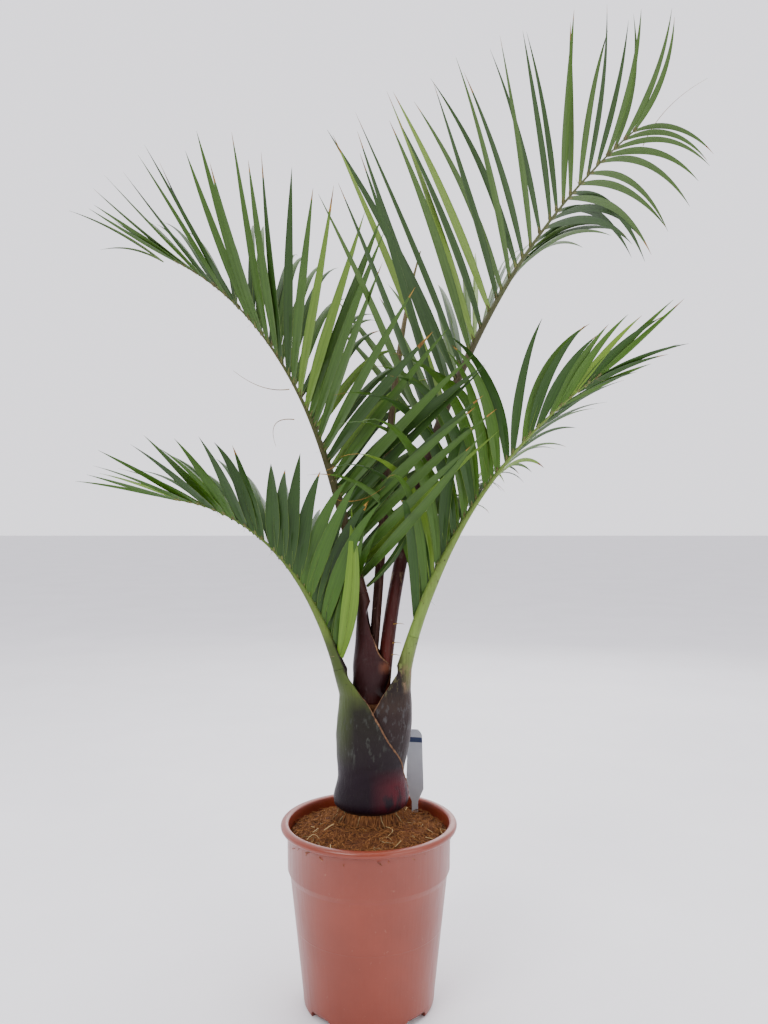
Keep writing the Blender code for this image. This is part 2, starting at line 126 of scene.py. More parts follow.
def mixColours(tree, mask, under, over):
    mix = tree.nodes.new("ShaderNodeMix")
    mix.data_type = "RGBA"
    for i, source in ((0, mask), (6, under), (7, over)):
        feed(tree, mix.inputs[i], source)
    return mix.outputs[2]


def newGroup(name, inputs, outputs, kind="ShaderNodeTree"):
    tree = bpy.data.node_groups.new(name, kind)
    for way, sockets in (("INPUT", inputs), ("OUTPUT", outputs)):
        for label, held in sockets:
            tree.interface.new_socket(name=label, in_out=way, socket_type="NodeSocket" + held)
    return tree, tree.nodes.new("NodeGroupInput").outputs, tree.nodes.new("NodeGroupOutput").inputs


def makeToneGroup():
    # two colours mixed by soft noise
    tree, start, end = newGroup(
        "twoTone",
        (("Vector", "Vector"), ("Scale", "Float"), ("Low", "Float"), ("High", "Float"), ("First", "Color"),
         ("Second", "Color")),
        (("Colour", "Color"), ("Mask", "Float")))
    cloud = tree.nodes.new("ShaderNodeTexNoise")
    values = {"Vector": start["Vector"], "Scale": start["Scale"], "Detail": 5, "Roughness": 0.6}
    for label, source in values.items():
        feed(tree, cloud.inputs[label], source)
    mask = mapRange(tree, cloud.outputs["Fac"], start["Low"], start["High"])
    feed(tree, end["Colour"], mixColours(tree, mask, start["First"], start["Second"]))
    feed(tree, end["Mask"], mask)


def makeBeltGroup():
    # a mask that is 1 between two values and fades out past them
    names = ("Value", "Start", "Full", "Fade", "End")
    tree, start, end = newGroup("belt", [(name, "Float") for name in names], [("Mask", "Float")])
    rise = mapRange(tree, start["Value"], start["Start"], start["Full"])
    fall = mapRange(tree, start["Value"], start["Fade"], start["End"], 1, 0)
    feed(tree, end["Mask"], calculate(tree, "MULTIPLY", rise, fall))


def useGroup(tree, name, sources):
    node = tree.nodes.new("ShaderNodeGroup")
    node.node_tree = bpy.data.node_groups[name]
    for socket, source in zip(node.inputs, sources):
        feed(tree, socket, source)
    return tuple(node.outputs)


def coordinates(tree, kind, scale=(1, 1, 1)):
    source = tree.nodes.new("ShaderNodeTexCoord")
    mapping = tree.nodes.new("ShaderNodeMapping")
    mapping.inputs["Scale"].default_value = scale
    feed(tree, mapping.inputs["Vector"], source.outputs[kind])
    return mapping.outputs[0]


def axisOf(tree, kind, axis):
    split = tree.nodes.new("ShaderNodeSeparateXYZ")
    feed(tree, split.inputs[0], coordinates(tree, kind))
    return split.outputs[axis]


def twoTone(tree, scale, low, high, first, second, stretch=(1, 1, 1), kind="Object"):
    return useGroup(tree, "twoTone", (coordinates(tree, kind, stretch), scale, low, high, first, second))


def belt(tree, value, *limits):
    return useGroup(tree, "belt", (value, *limits))[0]


def startMaterial(name, roughness, coat=0.0, gloss=0.28):
    material = bpy.data.materials.new(name)
    material.use_nodes = True
    shader = material.node_tree.nodes["Principled BSDF"].inputs
    values = {"Roughness": roughness, "Specular IOR Level": gloss, "Coat Weight": coat,
              "Coat Roughness": 0.25}
    for label, value in values.items():
        shader[label].default_value = value
    return material, material.node_tree, shader


def roughen(tree, shader, height, depth, strength=0.6):
    bump = tree.nodes.new("ShaderNodeBump")
    for label, source in (("Strength", strength), ("Distance", depth), ("Height", height)):
        feed(tree, bump.inputs[label], source)
    feed(tree, shader["Normal"], bump.outputs[0])


def plainFinish(name, first, second, roughness, scale=90.0, stretch=(1, 1, 1), depth=0.0004):
    material, tree, shader = startMaterial(name, roughness)
    colour, height = twoTone(tree, scale, 0.35, 0.68, first, second, stretch)
    feed(tree, shader["Base Color"], colour)
    roughen(tree, shader, height, depth)
    return material


def leafFinish(name, dark, light):
    # green blade: veins along it and soft patches over the whole frond
    material, tree, shader = startMaterial(name, 0.42)
    veins, _ = twoTone(tree, 1.0, 0.32, 0.68, dark, light, (11, 0.9, 1), "UV")
    pale = tuple(0.6 * (a + b) for a, b in zip(dark, light))
    colour, _ = twoTone(tree, 16.0, 0.45, 0.85, veins, pale)
    feed(tree, shader["Base Color"], colour)
    return material


# What a patch on a stalk is held to: its height, left to right, round the stalk and along it
patchWays = {"height": ("Object", 2), "side": ("Object", 0), "round": ("UV", 0), "length": ("UV", 1)}


def stalkFinish(name, stops, scurf, roughness, patches):
    # stops: place along the stalk and colour; scurf: colour of the fine scales on it
    material, tree, shader = startMaterial(name, roughness, 0.0, 0.18)
    ramp = tree.nodes.new("ShaderNodeValToRGB")
    while len(ramp.color_ramp.elements) < len(stops):
        ramp.color_ramp.elements.new(0.5)
    for element, (place, colour) in zip(ramp.color_ramp.elements, stops):
        element.position = place
        element.color = (*colour, 1)
    wobble = tree.nodes.new("ShaderNodeTexNoise")
    wobble.inputs["Scale"].default_value = 55
    feed(tree, wobble.inputs["Vector"], coordinates(tree, "Object", (1, 1, 0.35)))
    shift = calculate(tree, "MULTIPLY", calculate(tree, "SUBTRACT", wobble.outputs["Fac"], 0.5), 0.16)
    feed(tree, ramp.inputs["Fac"], calculate(tree, "ADD", axisOf(tree, "UV", 1), shift))
    _, height = twoTone(tree, 420.0, 0.45, 0.75, scurf, scurf, (1, 1, 0.12))
    colour = mixColours(tree, calculate(tree, "MULTIPLY", height, 0.35), ramp.outputs["Color"], scurf)
    colour, spots = twoTone(tree, 300.0, 0.64, 0.70, colour, scurf)
    for patch in patches:
        low = patch.get("from", 0.38)
        _, mask = twoTone(tree, patch["grain"], low, low + 0.1, scurf, scurf, (1, 1, 0.5))
        for way, (kind, axis) in patchWays.items():
            if way in patch:
                mask = calculate(tree, "MULTIPLY", mask, belt(tree, axisOf(tree, kind, axis), *patch[way]))
        colour = mixColours(tree, mask, colour, patch["colour"])
    feed(tree, shader["Base Color"], colour)
    roughen(tree, shader, calculate(tree, "ADD", height, spots), 0.0004)
    return material


# Mesh helpers: a pile gathers points, faces and one UV per face corner

def newPile():
    return {"points": [], "faces": [], "corners": [], "count": 0}


def addTo(pile, points, faces, corners):
    shift = pile["count"]
    pile["points"].append(np.asarray(points, float))
    pile["faces"] += [tuple(i + shift for i in face) for face in faces]
    pile["corners"] += corners
    pile["count"] += len(points)


def makePiece(name, pile, material, sharp=40):
    mesh = bpy.data.meshes.new(name)
    mesh.from_pydata(np.vstack(pile["points"]).tolist(), [], pile["faces"])
    layer = mesh.uv_layers.new(name="strip")
    layer.data.foreach_set("uv", np.array(pile["corners"], np.float32).ravel())
    work = bmesh.new()
    work.from_mesh(mesh)
    bmesh.ops.recalc_face_normals(work, faces=work.faces)
    work.to_mesh(mesh)
    work.free()
    mesh.materials.append(material)
    mesh.shade_smooth()
    mesh.set_sharp_from_angle(angle=math.radians(sharp))
    return newObject(name, mesh)


def settle(piece, slotName, *nodes):
    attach(piece, "root")
    if nodes:
        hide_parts(*nodes)
    return piece


def unit(vector):
    return vector / np.linalg.norm(vector)


def roundTurns(count):
    return np.arange(count) * math.tau / count


def along(values, t):
    return float(np.interp(t, np.linspace(0, 1, len(values)), values))


def smoothRead(pairs, height):
    # a smooth curve through (height, value) pairs
    x = np.array([pair[0] for pair in pairs], float)
    y = np.array([pair[1] for pair in pairs], float)
    if len(x) < 3 or height <= x[0] or height >= x[-1]:
        return float(np.interp(height, x, y))
    slope = np.gradient(y, x)
    i = int(np.searchsorted(x, height) - 1)
    gap = x[i + 1] - x[i]
    t = (height - x[i]) / gap
    return float((1 + 2 * t) * (1 - t) ** 2 * y[i] + t * (1 - t) ** 2 * gap * slope[i]
                 + t * t * (3 - 2 * t) * y[i + 1] + t * t * (t - 1) * gap * slope[i + 1])


def mirrored(right):
    # a whole outline from its right half
    return list(right) + [(-x, z) for x, z in reversed(right) if x > 0]


def slab(outline, depths, turn, place=(0.0, 0.0)):
    # rings of an outline of (across, height) at each depth, turned about the upright axis by degrees
    c, s = math.cos(math.radians(turn)), math.sin(math.radians(turn))
    rings = []
    for y in depths:
        rings.append(np.array([(place[0] + x * c - y * s, place[1] + x * s + y * c, z) for x, z in outline]))
    return rings


def loft(pile, rings, across=None, start=0.0, end=1.0):
    # closed skin over rings of equal count: U goes round a ring, and V from start to end along them
    count, tall = len(rings[0]), len(rings) - 1
    across = across or [i / count for i in range(count + 1)]
    heights = [start + (end - start) * ring / tall for ring in range(tall + 1)]
    faces = [tuple(range(count - 1, -1, -1)), tuple(range(tall * count, (tall + 1) * count))]
    corners = [(across[i], start) for i in range(count - 1, -1, -1)]
    corners += [(across[i], end) for i in range(count)]
    for ring in range(tall):
        here, above = ring * count, (ring + 1) * count
        low, high = heights[ring], heights[ring + 1]
        for i in range(count):
            j = (i + 1) % count
            faces.append((here + i, here + j, above + j, above + i))
            corners += [(across[i], low), (across[i + 1], low), (across[i + 1], high), (across[i], high)]
    addTo(pile, np.vstack(rings), faces, corners)


def tube(pile, line, radii, sides):
    # a thin strand along a line of points
    line = np.asarray(line, float)
    ways = np.gradient(line, axis=0)
    side = np.cross(ways[0], up)
    side = unit(side) if np.linalg.norm(side) > 1e-9 else np.array([1.0, 0, 0])
    rings = []
    for point, way, radius in zip(line, ways, radii):
        way = unit(way)
        side = unit(side - way * way.dot(side))
        other = np.cross(way, side)
        ring = [point + radius * (side * math.cos(a) + other * math.sin(a)) for a in roundTurns(sides)]
        rings.append(np.array(ring))
    loft(pile, rings)


def revolve(pile, profile, steps):
    # profile of (radius, height) from the axis back to the axis
    inner = profile[1:-1]
    points = [[0, 0, profile[0][1]]]
    for radius, height in inner:
        points += [[radius * math.cos(a), radius * math.sin(a), height] for a in roundTurns(steps)]
    points.append([0, 0, profile[-1][1]])
    last = len(points) - 1
    faces, corners = [], []
    for i in range(steps):
        j = (i + 1) % steps
        faces.append((0, 1 + i, 1 + j))
        corners += [(i / steps, 0)] * 3
        for ring in range(len(inner) - 1):
            low, high = 1 + ring * steps, 1 + (ring + 1) * steps
            faces.append((low + i, high + i, high + j, low + j))
            v, w = ring / len(inner), (ring + 1) / len(inner)
            corners += [(i / steps, v), (i / steps, w), ((i + 1) / steps, w), ((i + 1) / steps, v)]
        end = 1 + (len(inner) - 1) * steps
        faces.append((last, end + j, end + i))
        corners += [(i / steps, 1)] * 3
    addTo(pile, points, faces, corners)


# Pot

pot = {"height": 0.2125, "rim": 0.1045, "roll": 0.0042, "collar": 0.0965, "collarFoot": 0.155, "body": 0.093,
       "base": 0.0778, "wall": 0.0018, "foot": 0.009, "footRadius": 0.0745, "footWidth": 0.006, "boss": 0.022,
       "floor": 0.0115, "notch": 0.036, "notches": 4, "seam": 0.0925, "steps": 160}


def potProfile():
    top, floor, foot, roll = pot["height"], pot["floor"], pot["foot"], pot["roll"]
    base, body, collar, step = pot["base"], pot["body"], pot["collar"], pot["collarFoot"]
    rimFoot, middle = top - 2 * roll, pot["rim"] - roll
    corner, edge, soft = 0.004, 0.001, 0.0012
    # inner floor and its rounded corner, then up the inside of the body and the collar
    inner = base - pot["wall"]
    profile = [(0, floor), (inner - corner, floor), (inner - 0.0008, floor + soft), (inner, floor + corner),
               (body - pot["wall"], step - corner), (collar - pot["wall"], step + 0.003),
               (collar - pot["wall"] + edge, rimFoot)]
    # rolled rim
    for angle in np.linspace(150, -50, 15):
        spread = math.radians(angle)
        dent = 0.0016 if angle > 90 else 0
        profile.append((middle - dent + roll * math.cos(spread), top - roll + roll * math.sin(spread)))
    # collar and its step down to the body
    bodyTop = step - 0.0045
    profile += [(collar + soft, rimFoot), (collar + 0.0002, rimFoot - soft), (collar - 0.0003, step + corner),
                (collar - edge, step + 0.0022), (body + 0.0006, step - 0.003), (body, bodyTop)]
    profile += [(body + (base - body) * t, bodyTop + (floor - bodyTop) * t) for t in (0.25, 0.5, 0.75, 1.0)]
    # rounded foot, the foot ring and the boss under the floor
    for t in np.linspace(0.2, 1, 5):
        turn = t * math.pi / 2
        reach = (base - pot["footRadius"]) * math.cos(turn) ** 0.7
        profile.append((pot["footRadius"] + reach, floor * (1 - math.sin(turn))))
    inside, boss = pot["footRadius"] - pot["footWidth"], pot["boss"]
    profile += [(inside + 0.0005, 0), (inside - 0.0005, foot - edge), (inside - 0.0015, foot),
                (boss + 0.0016, foot), (boss + 0.0006, foot - edge), (boss, 0.0), (0, 0.0)]
    return profile


def potFinish():
    # plastic in the colour of terracotta, with dusty specks, upright scuffs and a seam from its mould
    material, tree, shader = startMaterial("terracottaPlastic", 0.34, 0.15, 0.45)
    colour, _ = twoTone(tree, 14.0, 0.3, 0.75, (0.185, 0.029, 0.012), (0.23, 0.038, 0.017))
    dusty, specks = twoTone(tree, 170.0, 0.66, 0.78, colour, (0.25, 0.080, 0.045), (1, 1, 0.7))
    _, scuffs = twoTone(tree, 260.0, 0.3, 0.8, (0, 0, 0), (1, 1, 1), (1, 1, 0.06))
    feed(tree, shader["Base Color"], dusty)
    feed(tree, shader["Roughness"], mapRange(tree, scuffs, 0, 1, 0.28, 0.44))
    limits = [pot["seam"] + off for off in (-0.001, -0.0003, 0.0003, 0.001)]
    seam = calculate(tree, "MULTIPLY", belt(tree, axisOf(tree, "Object", 2), *limits), 3.0)
    worn = calculate(tree, "ADD", scuffs, specks)
    roughen(tree, shader, calculate(tree, "ADD", worn, seam), 0.00015, 0.4)
    return material


def makePot():
    pile, material = newPile(), potFinish()
    revolve(pile, potProfile(), pot["steps"])
    piece = makePiece("pot_wall", pile, material, 50)
    half, tall = pot["notch"] / 2, pot["foot"] - 0.0006
    outline = mirrored(((half, -0.004), (half - 0.001, tall * 0.55), (half - 0.005, tall)))
    reach = (pot["footRadius"] - 0.014, pot["footRadius"] + 0.01)
    cutters = []
    for i in range(pot["notches"]):
        notch = newPile()
        loft(notch, slab(outline, reach, 45 + 360 / pot["notches"] * i))
        cutters.append(makePiece(f"notch_{i}", notch, material))
        cut = piece.modifiers.new("notch", "BOOLEAN")
        cut.operation = "DIFFERENCE"
        cut.object = cutters[-1]
    bake(piece)
    for cutter in cutters:
        bpy.data.objects.remove(cutter)
    settle(piece, "pot", "pot")
    print("pot done")


def bake(piece):
    bpy.context.view_layer.update()
    graph = bpy.context.evaluated_depsgraph_get()
    mesh = bpy.data.meshes.new_from_object(piece.evaluated_get(graph))
    piece.modifiers.clear()
    piece.data = mesh


# Scatter by Geometry Nodes: copies of a chip over a surface, made one plain mesh
scatterInputs = {"Chip": "Object", "Finish": "Material", "Density": "Float", "Smallest": "Float",
                 "Largest": "Float", "Tilt": "Vector", "Seed": "Int"}


def scatterTree():
    tree, start, end = newGroup("scatter", (("Geometry", "Geometry"), *scatterInputs.items()),
                                (("Geometry", "Geometry"),), "GeometryNodeTree")
    tree.is_modifier = True
    spread = tree.nodes.new("GeometryNodeDistributePointsOnFaces")
    chip = tree.nodes.new("GeometryNodeObjectInfo")
    place = tree.nodes.new("GeometryNodeInstanceOnPoints")
    size = tree.nodes.new("FunctionNodeRandomValue")
    size.data_type = "FLOAT"
    lean = tree.nodes.new("FunctionNodeRandomValue")
    lean.data_type = "FLOAT_VECTOR"
    minus = tree.nodes.new("ShaderNodeVectorMath")
    minus.operation = "SCALE"
    minus.inputs["Scale"].default_value = -1.0
    turn = tree.nodes.new("FunctionNodeRotateRotation")
    turn.rotation_space = "LOCAL"
    real = tree.nodes.new("GeometryNodeRealizeInstances")
    finish = tree.nodes.new("GeometryNodeSetMaterial")
    links = (
        (start["Geometry"], spread.inputs["Mesh"]), (start["Density"], spread.inputs["Density"]),
        (start["Seed"], spread.inputs["Seed"]), (start["Chip"], chip.inputs["Object"]),
        (start["Smallest"], size.inputs[2]), (start["Largest"], size.inputs[3]),
        (start["Seed"], size.inputs["Seed"]), (start["Tilt"], minus.inputs[0]),
        (minus.outputs[0], lean.inputs[0]), (start["Tilt"], lean.inputs[1]),
        (start["Seed"], lean.inputs["Seed"]), (spread.outputs["Rotation"], turn.inputs["Rotation"]),
        (lean.outputs[0], turn.inputs["Rotate By"]), (spread.outputs["Points"], place.inputs["Points"]),
        (chip.outputs["Geometry"], place.inputs["Instance"]), (turn.outputs[0], place.inputs["Rotation"]),
        (size.outputs[1], place.inputs["Scale"]), (place.outputs[0], real.inputs[0]),
        (real.outputs[0], finish.inputs["Geometry"]), (start["Finish"], finish.inputs["Material"]),
        (finish.outputs[0], end[0]))
    for source, socket in links:
        tree.links.new(source, socket)


def scatter(name, ground, *values):
    # values: one for each of the tree's inputs, in their order
    base = newObject(name, ground.data.copy())
    modifier = base.modifiers.new("scatter", "NODES")
    modifier.node_group = bpy.data.node_groups["scatter"]
    given = dict(zip(scatterInputs, values))
    for item in modifier.node_group.interface.items_tree:
        if item.item_type == "SOCKET" and item.in_out == "INPUT" and item.name in given:
            modifier[item.identifier] = given[item.name]
    bake(base)
    base.data.shade_smooth()
    return base


# Potting mix, its fibres and crumbs

soil = {"edge": 0.198, "top": 0.2104, "topRadius": 0.044, "radius": 0.0942, "rough": 0.0022, "middle": 0.0004,
        "steps": 180, "rings": 46, "coverFrom": 6,
        "under": ((0.0943, 0.19), (0.0943, 0.159), (0.0905, 0.151), (0.0758, 0.0166), (0.0725, 0.0120),
                  (0.001, 0.0120))}


def soilHeight(x, y):
    r = math.hypot(x, y)
    t = min(1.0, max(0.0, (r - soil["topRadius"]) / (soil["radius"] - soil["topRadius"])))
    height = soil["edge"] + (soil["top"] - soil["edge"]) * (1 - t) ** 1.6
    lump = noise.noise(Vector((x * 55, y * 55, 1.7))) + 0.6 * noise.noise(Vector((x * 160, y * 160, 4.2)))
    return height - soil["rough"] * 0.5 + soil["rough"] * lump * min(1.0, 0.25 + 1.6 * t)


def soilRing(radius, height=None):
    ring = []
    for a in roundTurns(soil["steps"]):
        x, y = radius * math.cos(a), radius * math.sin(a)
        ring.append((x, y, soilHeight(x, y) if height is None else height))
    return np.array(ring)


def coirFinish():
    material, tree, shader = startMaterial("coirMix", 0.95)
    coarse, _ = twoTone(tree, 60.0, 0.35, 0.65, (0.030, 0.010, 0.004), (0.12, 0.040, 0.012))
    fine, grains = twoTone(tree, 420.0, 0.42, 0.7, coarse, (0.20, 0.066, 0.017))
    feed(tree, shader["Base Color"], fine)
    roughen(tree, shader, grains, 0.0012, 0.9)
    return material


def makeCover(skin, material):
    # the open top of the bed, without upright faces and end caps, is what the crumbs and fibres lie on
    top = newPile()
    loft(top, skin[soil["coverFrom"]:soil["rings"]])
    cover = makePiece("cover", top, material)
    work = bmesh.new()
    work.from_mesh(cover.data)
    low = [face for face in work.faces if abs(face.normal.z) < 0.3 or len(face.verts) > 4]
    bmesh.ops.delete(work, geom=low, context="FACES")
    for face in work.faces:
        if face.normal.z < 0:
            face.normal_flip()
    work.to_mesh(cover.data)
    work.free()
    return cover


def makeCrumb():
    crumb = bpy.data.objects.new("crumb", bpy.data.meshes.new("crumb"))
    work = bmesh.new()
    bmesh.ops.create_icosphere(work, subdivisions=1, radius=0.0011)
    for vertex in work.verts:
        vertex.co *= 0.7 + 0.6 * abs(noise.noise(vertex.co * 2400))
        vertex.co.z *= 0.6
    work.to_mesh(crumb.data)
    work.free()
    return crumb


def makeFibre(material):
    strand = newPile()
    bend = [(0.0095 * (t - 0.5), 0.0035 * math.sin(3.4 * t), 0.0009 + 0.0012 * math.sin(math.pi * t))
            for t in np.linspace(0, 1, 7)]
    tube(strand, bend, [0.00022] * len(bend), 4)
    return makePiece("fibre", strand, material)


def makeSoil():
    middle, rings = soil["middle"], soil["rings"]
    skin = [soilRing(middle + (soil["radius"] - middle) * k / rings) for k in range(rings + 1)]
    skin += [soilRing(radius, height) for radius, height in soil["under"]]
    pile, material = newPile(), coirFinish()
    loft(pile, skin)
    settle(makePiece("potting_mix_bed", pile, material, 60), "potting_mix", "potting_mix")
    cover, crumb, fibre = makeCover(skin, material), makeCrumb(), makeFibre(material)
    brown = plainFinish("crumbs", (0.035, 0.012, 0.005), (0.19, 0.070, 0.022), 0.95, 300)
    coir = plainFinish("fibres", (0.10, 0.034, 0.010), (0.34, 0.145, 0.042), 0.85, 200)
    pale = plainFinish("paleFibres", (0.34, 0.22, 0.09), (0.50, 0.37, 0.18), 0.8)
    # chip, finish, density, smallest and largest size, tilt and seed
    layers = {
        "potting_mix_crumbs": (crumb, brown, 62000.0, 0.5, 1.7, (1.2, 1.2, 3.1), 4),
        "potting_mix_fibres": (fibre, coir, 52000.0, 0.5, 1.8, (0.5, 0.5, 3.1), 9),
        "potting_mix_pale_fibres": (fibre, pale, 1500.0, 0.7, 2.4, (0.7, 0.7, 3.1), 21),
    }
    for name, values in layers.items():
        settle(scatter(name, cover, *values), "potting_mix")
    for helper in (cover, crumb, fibre):
        bpy.data.objects.remove(helper)
    print("potting mix done")


# Stem axis, sheaths and stalks, to the sizes of the frame's solids

stem = {"x": 0.0018, "y": 0.010, "start": 0.22, "lean": 0.043, "depth": 0.92, "wall": 0.0036, "step": 0.0054,
        "ribs": 46, "ribDepth": 0.00025}
bulb = ((0.2240, 0.0375), (0.2285, 0.0430), (0.2357, 0.0453), (0.2442, 0.0444), (0.2526, 0.0424),
        (0.2611, 0.0412), (0.2695, 0.0417), (0.2863, 0.0438), (0.3050, 0.0453), (0.3229, 0.0454),
        (0.3518, 0.0436))
# A leaf's stalk: foot, length, azimuth, lean at foot and tip with its bend, thickness from foot to tip, first
# (where along it the leaflets begin), roll (how far the rows are turned about it) and the flare of its foot.
# Its sheath: the way it faces, its shift and radius by height, half the angle it covers by height, its neck.
# A row of leaflets: count and, from first to last, reach, forward, lift and curl angles, and width. A higher
# late keeps the curl nearer to the tips.
leaves = {
    "lower_left": {
        "foot": (-0.0327, -0.0030, 0.3902), "length": 0.2929, "azimuth": 197, "lean": (21.0, 82.7),
        "bend": 1.73, "first": 0.055, "thick": (0.0072, 0.0048, 0.0021, 0.0014, 0.0010), "roll": (0, 0, 0),
        "seed": 11, "slot": "sheath_left", "face": 197, "inset": 0.0, "flare": 0.35, "neck": 0.016,
        "shift": ((0.25, 0.0),),
        "radii": (*bulb, (0.3590, 0.0437), (0.3662, 0.0452), (0.3780, 0.0481)),
        "sheath": ((0.2240, 168), (0.2500, 166), (0.2670, 140), (0.2863, 122), (0.3080, 98), (0.3360, 76),
                   (0.3640, 50), (0.3780, 25)),
        "near": {"count": 21, "reach": (0.170, 0.165, 0.140, 0.130, 0.110), "forward": (30, 42, 45, 33, 15),
                 "lift": (65, 60, 55, 45, 30), "curl": (20, 35, 30, 15, 5), "late": 2.0,
                 "width": (0.0185, 0.0195, 0.0185, 0.0145, 0.0085)},
        "far": {"count": 19, "reach": (0.170, 0.165, 0.140, 0.130, 0.110), "forward": (32, 44, 46, 35, 16),
                "lift": (60, 55, 50, 45, 25), "curl": (50, 60, 50, 30, 10), "late": 1.5,
                "width": (0.0150, 0.0165, 0.0165, 0.0135, 0.0080)},
    },
    "lower_right": {
        "foot": (0.0410, 0.0000, 0.3934), "length": 0.4155, "azimuth": -16, "lean": (15.5, 55.0),
        "bend": 1.15, "first": 0.125, "thick": (0.0080, 0.0068, 0.0032, 0.0018, 0.0010),
        "roll": (0, 10, 25, 45, 60), "seed": 12, "slot": "sheath_right", "face": -16, "inset": stem["step"],
        "flare": 0.30, "neck": 0.016,
        "shift": ((0.2550, 0.0010), (0.2863, 0.0028), (0.3050, 0.0040), (0.3229, stem["step"])),
        "radii": (*bulb, (0.3590, 0.0429), (0.3662, 0.0417), (0.3734, 0.0405), (0.3807, 0.0398)),
        "sheath": ((0.2240, 168), (0.2600, 160), (0.3000, 120), (0.3300, 95), (0.3520, 78), (0.3700, 60),
                   (0.3807, 36)),
        "near": {"count": 27, "reach": (0.240, 0.258, 0.228, 0.170, 0.125, 0.120),
                 "forward": (22, 26, 36, 46, 22, 8), "lift": (72, 71, 61, 48, 25, 18),
                 "curl": (100, 110, 90, 66, 30, 5), "late": 1.6,
                 "width": (0.0120, 0.0140, 0.0140, 0.0115, 0.0080)},
        "far": {"count": 25, "reach": (0.200, 0.190, 0.120, 0.100, 0.110), "forward": (24, 28, 34, 18, 12),
                "lift": (70, 60, 40, 25, 20), "curl": (110, 110, 80, 20, 15), "late": 1.5,
                "width": (0.0115, 0.0120, 0.0110, 0.0100, 0.0080)},
    },
    "upper_left": {
        "foot": (-0.0050, 0.0030, 0.4693), "length": 0.4963, "azimuth": 172, "lean": (13.2, 62.8),
        "bend": 2.03, "first": 0.050, "thick": (0.0080, 0.0064, 0.0026, 0.0014, 0.0010), "roll": (0, 0, 0),
        "seed": 13, "slot": "sheath_inner", "face": 180, "inset": 0.0, "flare": 0.12, "neck": 0.020,
        "shift": ((0.3509, -0.0060), (0.3650, -0.0066), (0.3790, -0.0052), (0.3926, -0.0055),
                  (0.4057, -0.0083), (0.4250, -0.0105), (0.4380, -0.0120), (0.4520, -0.0134)),
        "radii": ((0.3509, 0.0225), (0.3650, 0.0218), (0.3790, 0.0228), (0.3926, 0.0233), (0.4057, 0.0200),
                  (0.4250, 0.0169), (0.4380, 0.0152), (0.4520, 0.0140)),
        "sheath": ((0.3509, 150), (0.3650, 150), (0.3790, 158), (0.3926, 164), (0.4057, 130), (0.4250, 110),
                   (0.4380, 92), (0.4520, 65)),
        "near": {"count": 33, "reach": (0.250, 0.250, 0.240, 0.210, 0.130), "forward": (60, 70, 52, 32, 8),
                 "lift": (55, 55, 50, 45, 25), "curl": (5, 5, 3, 0, 0), "late": 1.3,
                 "width": (0.0125, 0.0158, 0.0168, 0.0142, 0.0080)},
        "far": {"count": 31, "reach": (0.170, 0.180, 0.190, 0.180, 0.120), "forward": (58, 58, 50, 40, 12),
                "lift": (60, 60, 58, 52, 25), "curl": (60, 60, 55, 60, 5), "late": 3.5,
                "width": (0.0110, 0.0125, 0.0130, 0.0120, 0.0070)},
    },
    "upper_right": {
        "foot": (0.0145, 0.0090, 0.3517), "length": 0.8375, "azimuth": 18, "lean": (4.2, 48.7),
        "bend": 1.06, "first": 0.370, "thick": (0.0098, 0.0086, 0.0053, 0.0022, 0.0012),
        "roll": (0, 25, 55, 65, 75), "seed": 14, "slot": "stalk_upper_right", "flare": 0.0, "sheath": (),
        "near": {"count": 29, "reach": (0.330, 0.300, 0.255, 0.225, 0.190), "forward": (60, 55, 51, 42, 12),
                 "lift": (50, 45, 30, 22, 15), "curl": (5, 10, 22, 12, -35), "late": 1.3,
                 "width": (0.0120, 0.0130, 0.0120, 0.0110, 0.0090)},
        "far": {"count": 30, "reach": (0.260, 0.260, 0.270, 0.250, 0.170), "forward": (48, 36, 24, 42, 14),
                "lift": (50, 42, 25, 25, 20), "curl": (10, 25, 38, 52, 62), "late": 1.3,
                "width": (0.0120, 0.0130, 0.0120, 0.0110, 0.0090)},
    },
}
spear = {"foot": (0.0003, 0.0110, 0.3517), "length": 0.5522, "azimuth": 20, "lean": (4.4, 17.0), "bend": 4.0,
         "thick": (0.0062, 0.0062, 0.0054, 0.0042, 0.0008), "flare": 0.0, "rings": 110, "sides": 20,
         "folds": 5}
# A stalk's oval against its thickness, where its flare ends, and how its skin is divided
oval = {"wide": 1.15, "upper": 0.75, "flareEnd": 0.03, "spacing": 0.006, "sheathRings": 54, "neckRings": 10,
        "dryRings": 58, "rachisRings": 90, "sheathSides": 30, "stalkSides": 14, "rachisSides": 7}
# The rachis starts this far below its first leaflets, with a gap between it and the stalk's end
rachisStart, rachisGap = 0.012, 0.0004


def stalkPoints(leaf, steps=120):
    s = (np.arange(steps) + 0.5) / steps
    lean = np.radians(leaf["lean"][0] + (leaf["lean"][1] - leaf["lean"][0]) * s ** leaf["bend"])
    azimuth = math.radians(leaf["azimuth"])
    run = np.stack([np.sin(lean) * math.cos(azimuth), np.sin(lean) * math.sin(azimuth), np.cos(lean)], axis=1)
    foot = np.array(leaf["foot"])
    return np.vstack([foot, foot + np.cumsum(run, axis=0) * leaf["length"] / steps])


def stalkFrame(points, s):
    at = s * (len(points) - 1)
    i = min(int(at), len(points) - 2)
    ahead = unit(points[i + 1] - points[i])
    place = points[i] + (at - i) * (points[i + 1] - points[i])
    return place, ahead, unit(np.cross(up, ahead)), unit(up - ahead * ahead[2])


